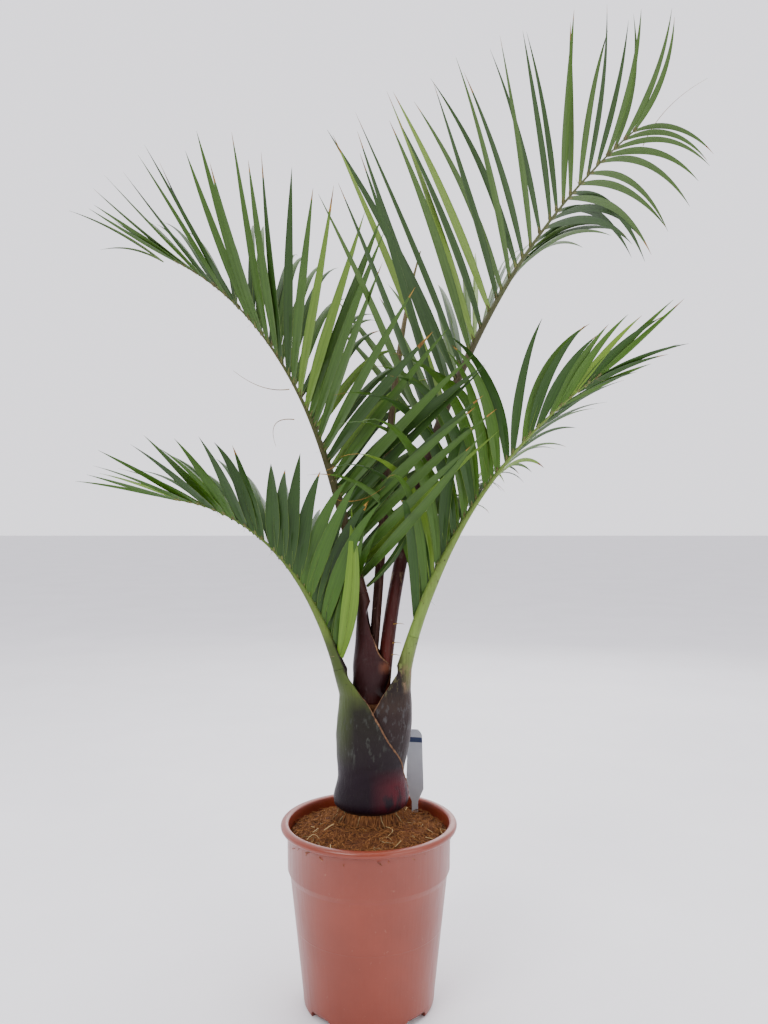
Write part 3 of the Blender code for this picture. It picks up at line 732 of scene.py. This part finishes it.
def ovalRing(leaf, points, s, count):
    place, _, left, upper = stalkFrame(points, s)
    flare = 1 + leaf["flare"] * math.exp(-s * leaf["length"] / oval["flareEnd"])
    thick = along(leaf["thick"], s) * flare
    turns = np.radians(-90 + (np.arange(count) + 0.5) * 180 / count)
    wide, high = left * oval["wide"], upper * oval["upper"]
    ring = [place + thick * (wide * math.sin(a) - upper * math.cos(a)) for a in turns]
    ring += [place + thick * (wide * math.sin(a) + high * math.cos(a)) for a in reversed(turns)]
    return np.array(ring)


def stemMiddle(height):
    return stem["x"] + stem["lean"] * (height - stem["start"])


def sheathPoint(leaf, height, v, inside):
    # v goes from edge to edge of the sheath, from -1 to 1
    middle = np.array([stemMiddle(height) + smoothRead(leaf["shift"], height), stem["y"], height])
    radius = smoothRead(leaf["radii"], height) - leaf["inset"]
    turn = math.radians(leaf["face"] + smoothRead(leaf["sheath"], height) * v)
    if inside:
        radius -= stem["wall"] * (1 - 0.6 * v * v)
    else:
        radius += stem["ribDepth"] * math.cos(turn * stem["ribs"] + 2 * math.sin(height * 60))
    return middle + radius * np.array([math.cos(turn), stem["depth"] * math.sin(turn), 0])


def sheathRing(leaf, height, count):
    ring = [sheathPoint(leaf, height, v, False) for v in np.linspace(-1, 1, count)]
    return np.array(ring + [sheathPoint(leaf, height, v, True) for v in np.linspace(1, -1, count)])


def stalkRings(leaf):
    # the sheath's rings, a neck that blends them into the stalk, and the stalk's ovals
    count = oval["sheathSides"] if leaf["sheath"] else oval["stalkSides"]
    end = leaf["first"] - (rachisStart + rachisGap) / leaf["length"]
    places = np.linspace(0, end, max(4, round(end * leaf["length"] / oval["spacing"])))
    ovals = [ovalRing(leaf, leaf["points"], s, count) for s in places]
    if not leaf["sheath"]:
        return ovals
    heights = np.linspace(leaf["sheath"][0][0], leaf["sheath"][-1][0] - leaf["neck"], oval["sheathRings"])
    rings = [sheathRing(leaf, height, count) for height in heights]
    last = rings[-1]
    for t in np.linspace(0, 1, oval["neckRings"] + 2)[1:-1]:
        ease = t * t * (3 - 2 * t)
        rings.append(last * (1 - ease) + ovals[0] * ease)
    return rings + ovals


# A stalk's colours along it, its scurf, and patches held to belts of four values: start, full, fade and end
stalkLooks = {
    "lower_left": {
        "stops": ((0.0, (0.007, 0.002, 0.006)), (0.25, (0.009, 0.003, 0.007)), (0.48, (0.011, 0.007, 0.007)),
                  (0.70, (0.013, 0.012, 0.007)), (0.86, (0.070, 0.095, 0.018)), (1.0, (0.12, 0.18, 0.030))),
        "scurf": (0.012, 0.007, 0.007),
        "patches": (
            {"colour": (0.050, 0.072, 0.016), "grain": 45.0, "from": 0.26,
             "side": (-0.060, -0.050, -0.032, -0.016), "height": (0.275, 0.35, 0.42, 0.44)},
            {"colour": (0.060, 0.003, 0.008), "grain": 40.0,
             "height": (0.22, 0.235, 0.258, 0.280), "side": (0.0, 0.030, 0.2, 0.3)},
            {"colour": (0.038, 0.040, 0.034), "grain": 150.0, "from": 0.56,
             "height": (0.27, 0.30, 0.33, 0.35), "side": (-0.04, -0.02, 0.01, 0.03)},
            {"colour": (0.012, 0.006, 0.005), "grain": 260.0, "from": 0.34,
             "height": (0.335, 0.355, 0.405, 0.440), "round": (0.47, 0.52, 0.70, 0.78)}),
    },
    "lower_right": {
        "stops": ((0.0, (0.012, 0.003, 0.005)), (0.40, (0.014, 0.006, 0.006)), (0.62, (0.019, 0.009, 0.008)),
                  (0.76, (0.032, 0.019, 0.012)), (0.85, (0.10, 0.095, 0.034)), (1.0, (0.15, 0.23, 0.045))),
        "scurf": (0.014, 0.006, 0.005),
        "patches": (
            {"colour": (0.048, 0.044, 0.044), "grain": 170.0, "from": 0.54,
             "height": (0.27, 0.30, 0.345, 0.375)},
            {"colour": (0.012, 0.006, 0.005), "grain": 220.0, "from": 0.36,
             "height": (0.350, 0.368, 0.390, 0.412), "side": (0.0, 0.015, 0.038, 0.046)},
            {"colour": (0.17, 0.105, 0.058), "grain": 150.0, "from": 0.50,
             "height": (0.362, 0.374, 0.386, 0.400), "side": (0.036, 0.043, 0.08, 0.09)}),
    },
    "upper_left": {
        "stops": ((0.0, (0.040, 0.006, 0.004)), (0.15, (0.020, 0.0045, 0.005)), (0.5, (0.023, 0.0045, 0.005)),
                  (0.8, (0.030, 0.006, 0.006)), (1.0, (0.040, 0.013, 0.009))),
        "scurf": (0.034, 0.018, 0.018),
        "patches": (
            {"colour": (0.065, 0.048, 0.048), "grain": 130.0, "from": 0.5,
             "height": (0.352, 0.358, 0.362, 0.374)},
            {"colour": (0.11, 0.035, 0.018), "grain": 60.0,
             "height": (0.384, 0.392, 0.396, 0.402), "side": (0.010, 0.018, 0.03, 0.04)}),
    },
    "upper_right": {
        "stops": ((0.0, (0.17, 0.024, 0.007)), (0.10, (0.070, 0.009, 0.005)), (0.30, (0.042, 0.006, 0.005)),
                  (0.7, (0.042, 0.009, 0.008)), (1.0, (0.046, 0.018, 0.014))),
        "scurf": (0.075, 0.042, 0.032),
        "patches": (
            {"colour": (0.26, 0.19, 0.115), "grain": 70.0, "from": 0.46,
             "height": (0.484, 0.490, 0.500, 0.507)},
            {"colour": (0.10, 0.070, 0.058), "grain": 150.0, "from": 0.56,
             "height": (0.50, 0.54, 0.62, 0.66)}),
    },
    "spear_leaf": {
        "stops": ((0.0, (0.028, 0.006, 0.004)), (0.35, (0.030, 0.009, 0.006)), (0.55, (0.060, 0.034, 0.018)),
                  (0.8, (0.13, 0.10, 0.052)), (1.0, (0.16, 0.13, 0.055))),
        "scurf": (0.17, 0.12, 0.09),
        "patches": (
            {"colour": (0.10, 0.16, 0.03), "grain": 60.0,
             "round": (0.02, 0.06, 0.16, 0.22), "length": (0.45, 0.6, 1.5, 2.0)},),
    },
}
# The rachis goes from the first colour to the second
rachisLooks = {
    "lower_left": ((0.12, 0.18, 0.030), (0.085, 0.135, 0.024)),
    "lower_right": ((0.15, 0.23, 0.045), (0.125, 0.19, 0.038)),
    "upper_left": ((0.040, 0.013, 0.009), (0.062, 0.070, 0.020)),
    "upper_right": ((0.048, 0.020, 0.015), (0.070, 0.080, 0.030)),
}


def makeMargins(name, leaf, rings):
    # dry brown margin along each edge of the sheath, thinner towards its top
    pile, last, dry = newPile(), len(rings[0]) - 1, oval["dryRings"]
    for outer, inner in ((0, last), (last // 2, last // 2 + 1)):
        line = [(ring[outer] + ring[inner]) / 2 for ring in rings[1:dry]]
        radii = []
        for k in range(len(line)):
            wobble = noise.noise(Vector((k * 0.7, outer, leaf["seed"])))
            radii.append((0.0012 + 0.0006 * wobble) * min(1.0, (dry - k) / 16))
        tube(pile, line, radii, 6)
    finish = plainFinish("margin_" + name, (0.065, 0.026, 0.012), (0.21, 0.11, 0.050), 0.7, 260)
    settle(makePiece("margin_" + name, pile, finish), leaf["slot"])


def makeStalks():
    for name, leaf in leaves.items():
        leaf["points"] = stalkPoints(leaf)
        rings, pile = stalkRings(leaf), newPile()
        loft(pile, rings)
        leaf["skin"] = (np.vstack(rings), pile["faces"])
        look = stalkLooks[name]
        finish = stalkFinish("stalk_" + name, look["stops"], look["scurf"], 0.48, look["patches"])
        settle(makePiece("stalk_" + name + "_skin", pile, finish, 60), leaf["slot"], "stalk_" + name)
        if leaf["sheath"]:
            makeMargins(name, leaf, rings)
    print("stalks done")


def makeSpear():
    points, rings, pile = stalkPoints(spear), [], newPile()
    for s in np.linspace(0, 1, spear["rings"]):
        ring = ovalRing(spear, points, s, spear["sides"])
        centre = ring.mean(axis=0)
        turns = spear["folds"] * (roundTurns(len(ring)) + s)
        fold = 1 + 0.10 * np.cos(turns)[:, None] * min(1.0, s * 4)
        rings.append(centre + (ring - centre) * fold)
    loft(pile, rings)
    spear["skin"] = (np.vstack(rings), pile["faces"])
    look = stalkLooks["spear_leaf"]
    finish = stalkFinish("furledLeaf", look["stops"], look["scurf"], 0.6, look["patches"])
    settle(makePiece("spear_leaf_skin", pile, finish, 60), "spear_leaf", "spear_leaf")
    print("spear leaf done")


# Root collar, the stem hidden in the sheaths, its roots, and wisps that lie on the potting mix

trunk = {"collar": ((0.2108, 0.0405), (0.2135, 0.0398), (0.2165, 0.0392), (0.2200, 0.0380), (0.2236, 0.0362),
                    (0.2240, 0.0265)),
         "top": (0.3505, 0.0316), "hidden": 0.0120, "rough": 0.0011, "sides": 96}
roots = {"count": 150, "paleEvery": 15, "top": 0.2242, "radius": 0.0372, "drop": (0.010, 0.016),
         "out": (0.002, 0.011), "swirl": (-0.14, 0.14), "thick": (0.00035, 0.0010)}
wisps = {"count": 64, "paleEvery": 5, "place": (0.052, 0.088), "size": (0.010, 0.028), "curve": (-2.2, 2.2),
         "thick": (0.0002, 0.00045), "limit": 0.0925}


def makeTrunk():
    pile, rings = newPile(), []
    low, high = trunk["collar"][-1][0], trunk["top"][0]
    core = [(height, radius - trunk["hidden"]) for height, radius in bulb if low < height < high]
    for height, radius in (*trunk["collar"], *core, trunk["top"]):
        ring = []
        for a in roundTurns(trunk["sides"]):
            rough = noise.noise(Vector((math.cos(a) * 14, math.sin(a) * 14, height * 60)))
            r = radius + (trunk["rough"] * rough if height < low else 0)
            y = stem["y"] + stem["depth"] * r * math.sin(a)
            ring.append((stemMiddle(height) + r * math.cos(a), y, height))
        rings.append(np.array(ring))
    loft(pile, rings)
    dark, light = (0.05, 0.016, 0.006), (0.19, 0.075, 0.023)
    bark = plainFinish("rootCollar", dark, light, 0.9, 150, (1, 1, 0.15), 0.0012)
    settle(makePiece("trunk_skin", pile, bark, 60), "trunk", "trunk")
    print("root collar done")


def rootLine(i, draw):
    a = math.tau * (i + draw.uniform(-0.4, 0.4)) / roots["count"]
    drop, out, swirl = [draw.uniform(*roots[key]) for key in ("drop", "out", "swirl")]
    line = []
    for t in np.linspace(0, 1, 7):
        r = roots["radius"] + out * t ** 1.5 + 0.0008 * math.sin(9 * t + i)
        turn = a + swirl * t
        x = stem["x"] + r * math.cos(turn)
        y = stem["y"] + stem["depth"] * r * math.sin(turn)
        line.append((x, y, max(roots["top"] - drop * t, soilHeight(x, y) - 0.0004)))
    return line


def wispLine(draw):
    a, r = draw.uniform(0, math.tau), draw.uniform(*wisps["place"])
    turn, size = draw.uniform(0, math.tau), draw.uniform(*wisps["size"])
    curve = draw.uniform(*wisps["curve"])
    line = []
    for t in np.linspace(0, 1, 9):
        x = r * math.cos(a) + size * (t - 0.5) * math.cos(turn + curve * t)
        y = r * math.sin(a) + size * (t - 0.5) * math.sin(turn + curve * t)
        inward = min(1.0, wisps["limit"] / math.hypot(x, y))
        x, y = x * inward, y * inward
        line.append((x, y, soilHeight(x, y) + 0.0012 + 0.0022 * math.sin(math.pi * t)))
    return line


def makeRoots():
    draw = np.random.default_rng(5)
    brown, pale = newPile(), newPile()
    for i in range(roots["count"]):
        line, thick = rootLine(i, draw), draw.uniform(*roots["thick"])
        radii = [thick * (1 - 0.6 * t) for t in np.linspace(0, 1, len(line))]
        tube(brown if i % roots["paleEvery"] else pale, line, radii, 5)
    for i in range(wisps["count"]):
        line, thick = wispLine(draw), draw.uniform(*wisps["thick"])
        tube(brown if i % wisps["paleEvery"] else pale, line, [thick] * len(line), 4)
    dark = plainFinish("roots", (0.10, 0.034, 0.011), (0.27, 0.11, 0.034), 0.85, 180)
    light = plainFinish("paleRoots", (0.20, 0.145, 0.062), (0.34, 0.26, 0.13), 0.75, 180)
    settle(makePiece("roots", brown, dark), "trunk")
    settle(makePiece("roots_pale", pale, light), "trunk")
    print("roots done")


# Plant label: blank, with a plain dark band

label = {"at": (0.0570, 0.0640), "turn": -12, "thick": 0.0010, "band": (0.2868, 0.2930),
         "outline": ((0.0, 0.164), (0.004, 0.170), (0.004, 0.212), (0.0112, 0.228), (0.0092, 0.296),
                     (0.0075, 0.2995), (0.0040, 0.3030))}


def labelFinish():
    material, tree, shader = startMaterial("labelPlastic", 0.4, 0.1)
    colour, _ = twoTone(tree, 60.0, 0.3, 0.7, (0.46, 0.48, 0.53), (0.52, 0.54, 0.58))
    low, high = label["band"]
    mask = belt(tree, axisOf(tree, "Object", 2), low - 0.0002, low, high, high + 0.0002)
    feed(tree, shader["Base Color"], mixColours(tree, mask, colour, (0.035, 0.050, 0.110)))
    return material


def makeLabel():
    pile, half = newPile(), label["thick"] / 2
    loft(pile, slab(mirrored(label["outline"]), (-half, half), label["turn"], label["at"]))
    piece = makePiece("plant_label_card", pile, labelFinish(), 30)
    bevel = piece.modifiers.new("edge", "BEVEL")
    bevel.width = 0.00022
    bevel.segments = 2
    bake(piece)
    settle(piece, "plant_label", "plant_label")
    print("label done")


# Fronds

bladeSteps = 18
# U at each point of a blade's section and back at the first
bladeAcross = (0.0, 0.25, 0.5, 0.75, 1.0, 0.5, 0.0)
# How much leaflets vary: reach and width as shares, angles in degrees, place as a share of their spacing
vary = {"reach": 0.08, "width": 0.10, "forward": 4, "lift": 6, "curl": 8, "place": 0.3}
# Shares of leaflets with no dry tip, one step of it and two, and shares of the three greens
tipShares, greenShares = (0.52, 0.40, 0.08), (0.50, 0.43, 0.07)
# Sideways sway and twist in degrees at most, and where along the stalk the last leaflets stand
swayMost, twistMost, lastPlace = 0.035, 26, 0.995
# Least half width of a blade, thickness at its ridge, depth of its fold at foot and how much less at the tip
blade = {"least": 0.00012, "thick": 0.00028, "fold": 0.45, "flatter": 0.20}
# Radius and rise of a pale rib, and radius of the rims that show on near leaflets from a width on
rib = {"radius": 0.0005, "rise": 0.0001, "rim": 0.00026, "rimFrom": 0.0125}
# Single strands that stand out: frond, kind (0 to 2 a blade in that green, 3 a dead thread), ends, bow, width
singles = (
    ("lower_left", 2, (-0.0345, -0.010, 0.4060), (-0.0195, -0.045, 0.5826), (0.008, -0.012, 0.0), 0.0215),
    ("lower_left", 3, (-0.0427, -0.060, 0.5948), (0.0190, -0.055, 0.6072), (0.0, 0.0, -0.010), 0.0011),
    ("upper_left", 0, (-0.0024, -0.004, 0.4895), (0.0669, -0.030, 0.6342), (0.012, -0.010, -0.010), 0.0085),
    ("upper_left", 3, (-0.0946, -0.002, 0.7240), (-0.1580, -0.020, 0.7431), (0.0, 0.0, -0.008), 0.0012),
    ("upper_left", 3, (-0.0886, -0.002, 0.6880), (-0.1089, -0.015, 0.6550), (-0.012, 0.0, 0.010), 0.0012),
    ("upper_left", 0, (-0.2370, -0.030, 0.8670), (-0.3390, -0.050, 0.9195), (0.0, 0.0, 0.006), 0.0036),
    ("upper_left", 0, (-0.2370, -0.030, 0.8670), (-0.3004, -0.060, 0.8720), (0.0, 0.0, 0.008), 0.0030),
    ("upper_right", 3, (0.3836, 0.190, 1.0950), (0.4679, 0.170, 1.1809), (-0.010, 0.0, 0.006), 0.0011),
    ("upper_right", 3, (0.0290, 0.002, 0.4440), (0.0420, -0.002, 0.4445), (0.0, 0.0, 0.001), 0.0014),
    ("upper_right", 3, (0.0280, 0.002, 0.4215), (0.0385, -0.002, 0.4220), (0.0, 0.0, 0.001), 0.0013),
    ("upper_right", 3, (0.0270, 0.002, 0.4074), (0.0365, -0.002, 0.4072), (0.0, 0.0, 0.001), 0.0013),
)
# Each frond's three greens, each from dark to light
greens = {
    "lower_left": (((0.010, 0.034, 0.002), (0.022, 0.064, 0.004)),
                   ((0.022, 0.064, 0.004), (0.045, 0.110, 0.007)),
                   ((0.075, 0.155, 0.010), (0.13, 0.225, 0.018))),
    "lower_right": (((0.010, 0.036, 0.003), (0.026, 0.072, 0.005)),
                    ((0.029, 0.076, 0.005), (0.058, 0.130, 0.010)),
                    ((0.085, 0.175, 0.013), (0.15, 0.24, 0.024))),
    "upper_left": (((0.012, 0.036, 0.004), (0.028, 0.068, 0.008)),
                   ((0.026, 0.066, 0.007), (0.053, 0.110, 0.014)),
                   ((0.068, 0.135, 0.014), (0.125, 0.205, 0.027))),
    "upper_right": (((0.015, 0.041, 0.007), (0.035, 0.075, 0.014)),
                    ((0.035, 0.076, 0.012), (0.068, 0.125, 0.023)),
                    ((0.105, 0.185, 0.025), (0.17, 0.26, 0.043))),
}
# Degrees of lift and forward that a leaflet is turned aside by where it would touch a limb
turnsAside = ((0, 0), (8, 0), (-8, 0), (0, 8), (0, -8), (12, 6), (-12, -6), (16, 0), (-16, 0), (0, 16),
              (20, -8), (-20, 8))


def bladeShape(t):
    return (0.40 + 0.60 * math.sin(min(1.0, t / 0.4) * math.pi / 2)) * (1 - t ** 2.4)


def leafletLine(root, ahead, out, upper, reach, forward, lift, curl, late, sway):
    rise = out * math.cos(math.radians(lift)) + upper * math.sin(math.radians(lift))
    turn = math.radians(forward)
    start = ahead * math.cos(turn) + rise * math.sin(turn)
    down = unit(start * start[2] - up)
    across = ahead * math.sin(turn) - rise * math.cos(turn)
    points = [root]
    for k in range(bladeSteps):
        t = (k + 0.5) / bladeSteps
        bend = math.radians(curl) * t ** late
        step = start * math.cos(bend) + down * math.sin(bend) + across * sway * math.sin(4.5 * t)
        points.append(points[-1] + step * reach / bladeSteps)
    return np.array(points), across


def bladeSections(line, across, upper, width, twist):
    # six points a section: edge, middle, ridge, middle, edge and the underside of the fold
    sections, tops = [], []
    for k, way in enumerate(np.gradient(line, axis=0)):
        t = k / (len(line) - 1)
        way = unit(way)
        flat = unit(across - way * way.dot(across))
        top = np.cross(way, flat)
        top = top if top.dot(upper) > 0 else -top
        turn = math.radians(twist * t)
        side = flat * math.cos(turn) + top * math.sin(turn)
        over = top * math.cos(turn) - flat * math.sin(turn)
        half = max(blade["least"], width / 2 * bladeShape(t))
        fold = half * (blade["fold"] - blade["flatter"] * t)
        thick = blade["thick"] * max(0.3, 1 - t)
        section = ((-half, -fold), (-half * 0.52, -fold * 0.36), (0, thick), (half * 0.52, -fold * 0.36),
                   (half, -fold), (0, -thick - fold * 0.12))
        sections.append([line[k] + side * x + over * y for x, y in section])
        tops.append(over)
    return np.array(sections), np.array(tops)


def addBlade(pile, sections, first, last):
    loft(pile, sections[first:last + 1], bladeAcross, first / bladeSteps, last / bladeSteps)


def addRib(pile, sections, tops):
    line = sections[:-2, 2] + tops[:-2] * rib["rise"]
    tube(pile, line, [rib["radius"] * (1 - k / bladeSteps) for k in range(len(line))], 4)


def addRims(pile, sections):
    for corner in (0, 4):
        line = sections[1:-6, corner]
        tube(pile, line, [rib["rim"] * (1 - k / bladeSteps) for k in range(len(line))], 3)


def addHairs(pile, base, out, draw):
    for _ in range(int(draw.integers(0, 3))):
        away = unit(draw.uniform(-1, 1, 3) + 0.6 * out)
        size = draw.uniform(0.004, 0.013)
        bend = unit(draw.uniform(-1, 1, 3))
        hair = [base + away * size * f + bend * size * 0.5 * f * f for f in np.linspace(0, 1, 5)]
        tube(pile, hair, (0.00022, 0.0002, 0.00016, 0.0001, 0.00005), 3)


def treeOf(skins):
    points, faces = [], []
    for skin, polygons in skins:
        faces += [tuple(i + len(points) for i in polygon) for polygon in polygons]
        points += [tuple(point) for point in skin]
    return BVHTree.FromPolygons(points, faces)


def bladeTouches(line, across, width, limbs):
    half = across * (width / 2 + 0.0012)
    points = [tuple(point + way * half * bladeShape(k / bladeSteps))
              for way in (-1, 1) for k, point in enumerate(line)]
    n = len(line)
    ribbon = BVHTree.FromPolygons(points, [(k, k + 1, n + k + 1, n + k) for k in range(n - 1)])
    return bool(ribbon.overlap(limbs))


def addLeaflet(leaf, row, i, draw, extra, tints, piles, limbs):
    spec = leaf[row]
    t = i / (spec["count"] - 1)
    shift = {key: amount * chance for (key, amount), chance in zip(vary.items(), draw.uniform(-1, 1, 6))}
    spot = min(1.0, max(0.0, t + shift["place"] / spec["count"]))
    s = leaf["first"] + (lastPlace - leaf["first"]) * spot
    place, ahead, left, upper = stalkFrame(leaf["points"], s)
    near = left if left[1] < 0 else -left
    roll = math.radians(along(leaf["roll"], t))
    out = (near * math.cos(roll) + upper * math.sin(roll)) * (1 if row == "near" else -1)
    over = upper * math.cos(roll) - near * math.sin(roll)
    reach, width = [along(spec[key], t) * (1 + shift[key]) for key in ("reach", "width")]
    forward, lift, curl = [along(spec[key], t) + shift[key] for key in ("forward", "lift", "curl")]
    sway = extra.uniform(-swayMost, swayMost)
    twist = extra.uniform(-twistMost, twistMost)
    for liftMore, forwardMore in turnsAside:
        line, across = leafletLine(place, ahead, out, over, reach, forward + forwardMore, lift + liftMore,
                                   curl, spec["late"], sway)
        if not bladeTouches(line, across, width, limbs):
            break
    else:
        return
    sections, tops = bladeSections(line, across, over, width, twist)
    green = bladeSteps - int(extra.choice(3, p=tipShares))
    addBlade(tints[int(extra.choice(3, p=greenShares))], sections, 0, green)
    if green < bladeSteps:
        addBlade(piles["tips"], sections, green, bladeSteps)
    addRib(piles["ribs"], sections, tops)
    if row == "near" and width >= rib["rimFrom"]:
        addRims(piles["ribs"], sections)
    # swollen foot of the leaflet on the rachis
    thick = along(leaf["thick"], s)
    knob = [place + (line[1] - line[0]) * f for f in (0.0, 0.25, 0.5, 0.8)]
    tube(piles["bases"], knob, [thick * 0.5 + 0.0008, 0.0021, 0.0017, 0.0007], 6)
    addHairs(piles["hairs"], place + out * thick * 0.9, out, extra)


def addSingle(kind, first, last, bow, width, tints, piles):
    first, last, bow = np.array(first), np.array(last), np.array(bow)
    line = [first + (last - first) * t + bow * 4 * t * (1 - t) for t in np.linspace(0, 1, bladeSteps + 1)]
    if kind == 3:
        tube(piles["tips"], line, [width / 2 * (1 - 0.7 * k / bladeSteps) for k in range(len(line))], 4)
        return
    across = unit(np.cross(line[-1] - line[0], (0.15, 1.0, 0.0)))
    sections, tops = bladeSections(line, across, np.array([0.0, -1.0, 0.2]), width, 20)
    addBlade(tints[kind], sections, 0, bladeSteps)
    addRib(piles["ribs"], sections, tops)


def makeRachis(name, leaf):
    pile = newPile()
    start = leaf["first"] - rachisStart / leaf["length"]
    places = np.linspace(start, 1, oval["rachisRings"])
    loft(pile, [ovalRing(leaf, leaf["points"], s, oval["rachisSides"]) for s in places])
    first, last = rachisLooks[name]
    stops = ((0.0, first), (0.45, last), (1.0, last))
    finish = stalkFinish("rachis_" + name, stops, (0.045, 0.026, 0.016), 0.5, stalkLooks[name]["patches"])
    settle(makePiece("rachis_" + name, pile, finish, 60), "frond_" + name, "frond_" + name)


def makeFrond(name, leaf, limbs):
    draw = np.random.default_rng(leaf["seed"])
    extra = np.random.default_rng(leaf["seed"] + 100)
    tints = [newPile() for _ in greens[name]]
    piles = {key: newPile() for key in ("ribs", "tips", "bases", "hairs")}
    for row in ("near", "far"):
        for i in range(leaf[row]["count"]):
            addLeaflet(leaf, row, i, draw, extra, tints, piles, limbs)
    for frond, *strand in singles:
        if frond == name:
            addSingle(*strand, tints, piles)
    makeRachis(name, leaf)
    for i, pile in enumerate(tints):
        finish = leafFinish(f"leaf_{name}_{i + 1}", *greens[name][i])
        settle(makePiece(f"leaflets_{name}_{i + 1}", pile, finish, 35), "frond_" + name)
    pale = greens[name][2][1]
    looks = {"ribs": (tuple(v * 0.45 for v in pale), tuple(v * 0.8 for v in pale), 0.5),
             "tips": ((0.11, 0.050, 0.012), (0.34, 0.20, 0.035), 0.75),
             "bases": ((0.070, 0.055, 0.020), (0.15, 0.17, 0.050), 0.7),
             "hairs": ((0.09, 0.045, 0.022), (0.32, 0.26, 0.14), 0.8)}
    for key, (first, second, roughness) in looks.items():
        finish = plainFinish(f"{key}_{name}", first, second, roughness, 120)
        settle(makePiece(f"{key}_{name}", piles[key], finish), "frond_" + name)
    print("frond", name, "done")


def makeFronds():
    limbs = treeOf([spear["skin"]] + [leaf["skin"] for leaf in leaves.values()])
    for name, leaf in leaves.items():
        makeFrond(name, leaf, limbs)


def makeFloor():
    mesh = bpy.data.meshes.new("floor")
    half = 20
    corners = [(-half, -half, 0), (half, -half, 0), (half, half, 0), (-half, half, 0)]
    mesh.from_pydata(corners, [], [(0, 1, 2, 3)])
    pale, paler = (0.82, 0.81, 0.84), (0.86, 0.85, 0.88)
    mesh.materials.append(plainFinish("paleFloor", pale, paler, 0.6, 3, (1, 1, 1), 0.0002))
    newObject("floor", mesh)


setCamera()
setLights()
setWorld()
makeToneGroup()
makeBeltGroup()
scatterTree()
makeFloor()
makePot()
makeSoil()
makeStalks()
makeSpear()
makeTrunk()
makeRoots()
makeLabel()
makeFronds()
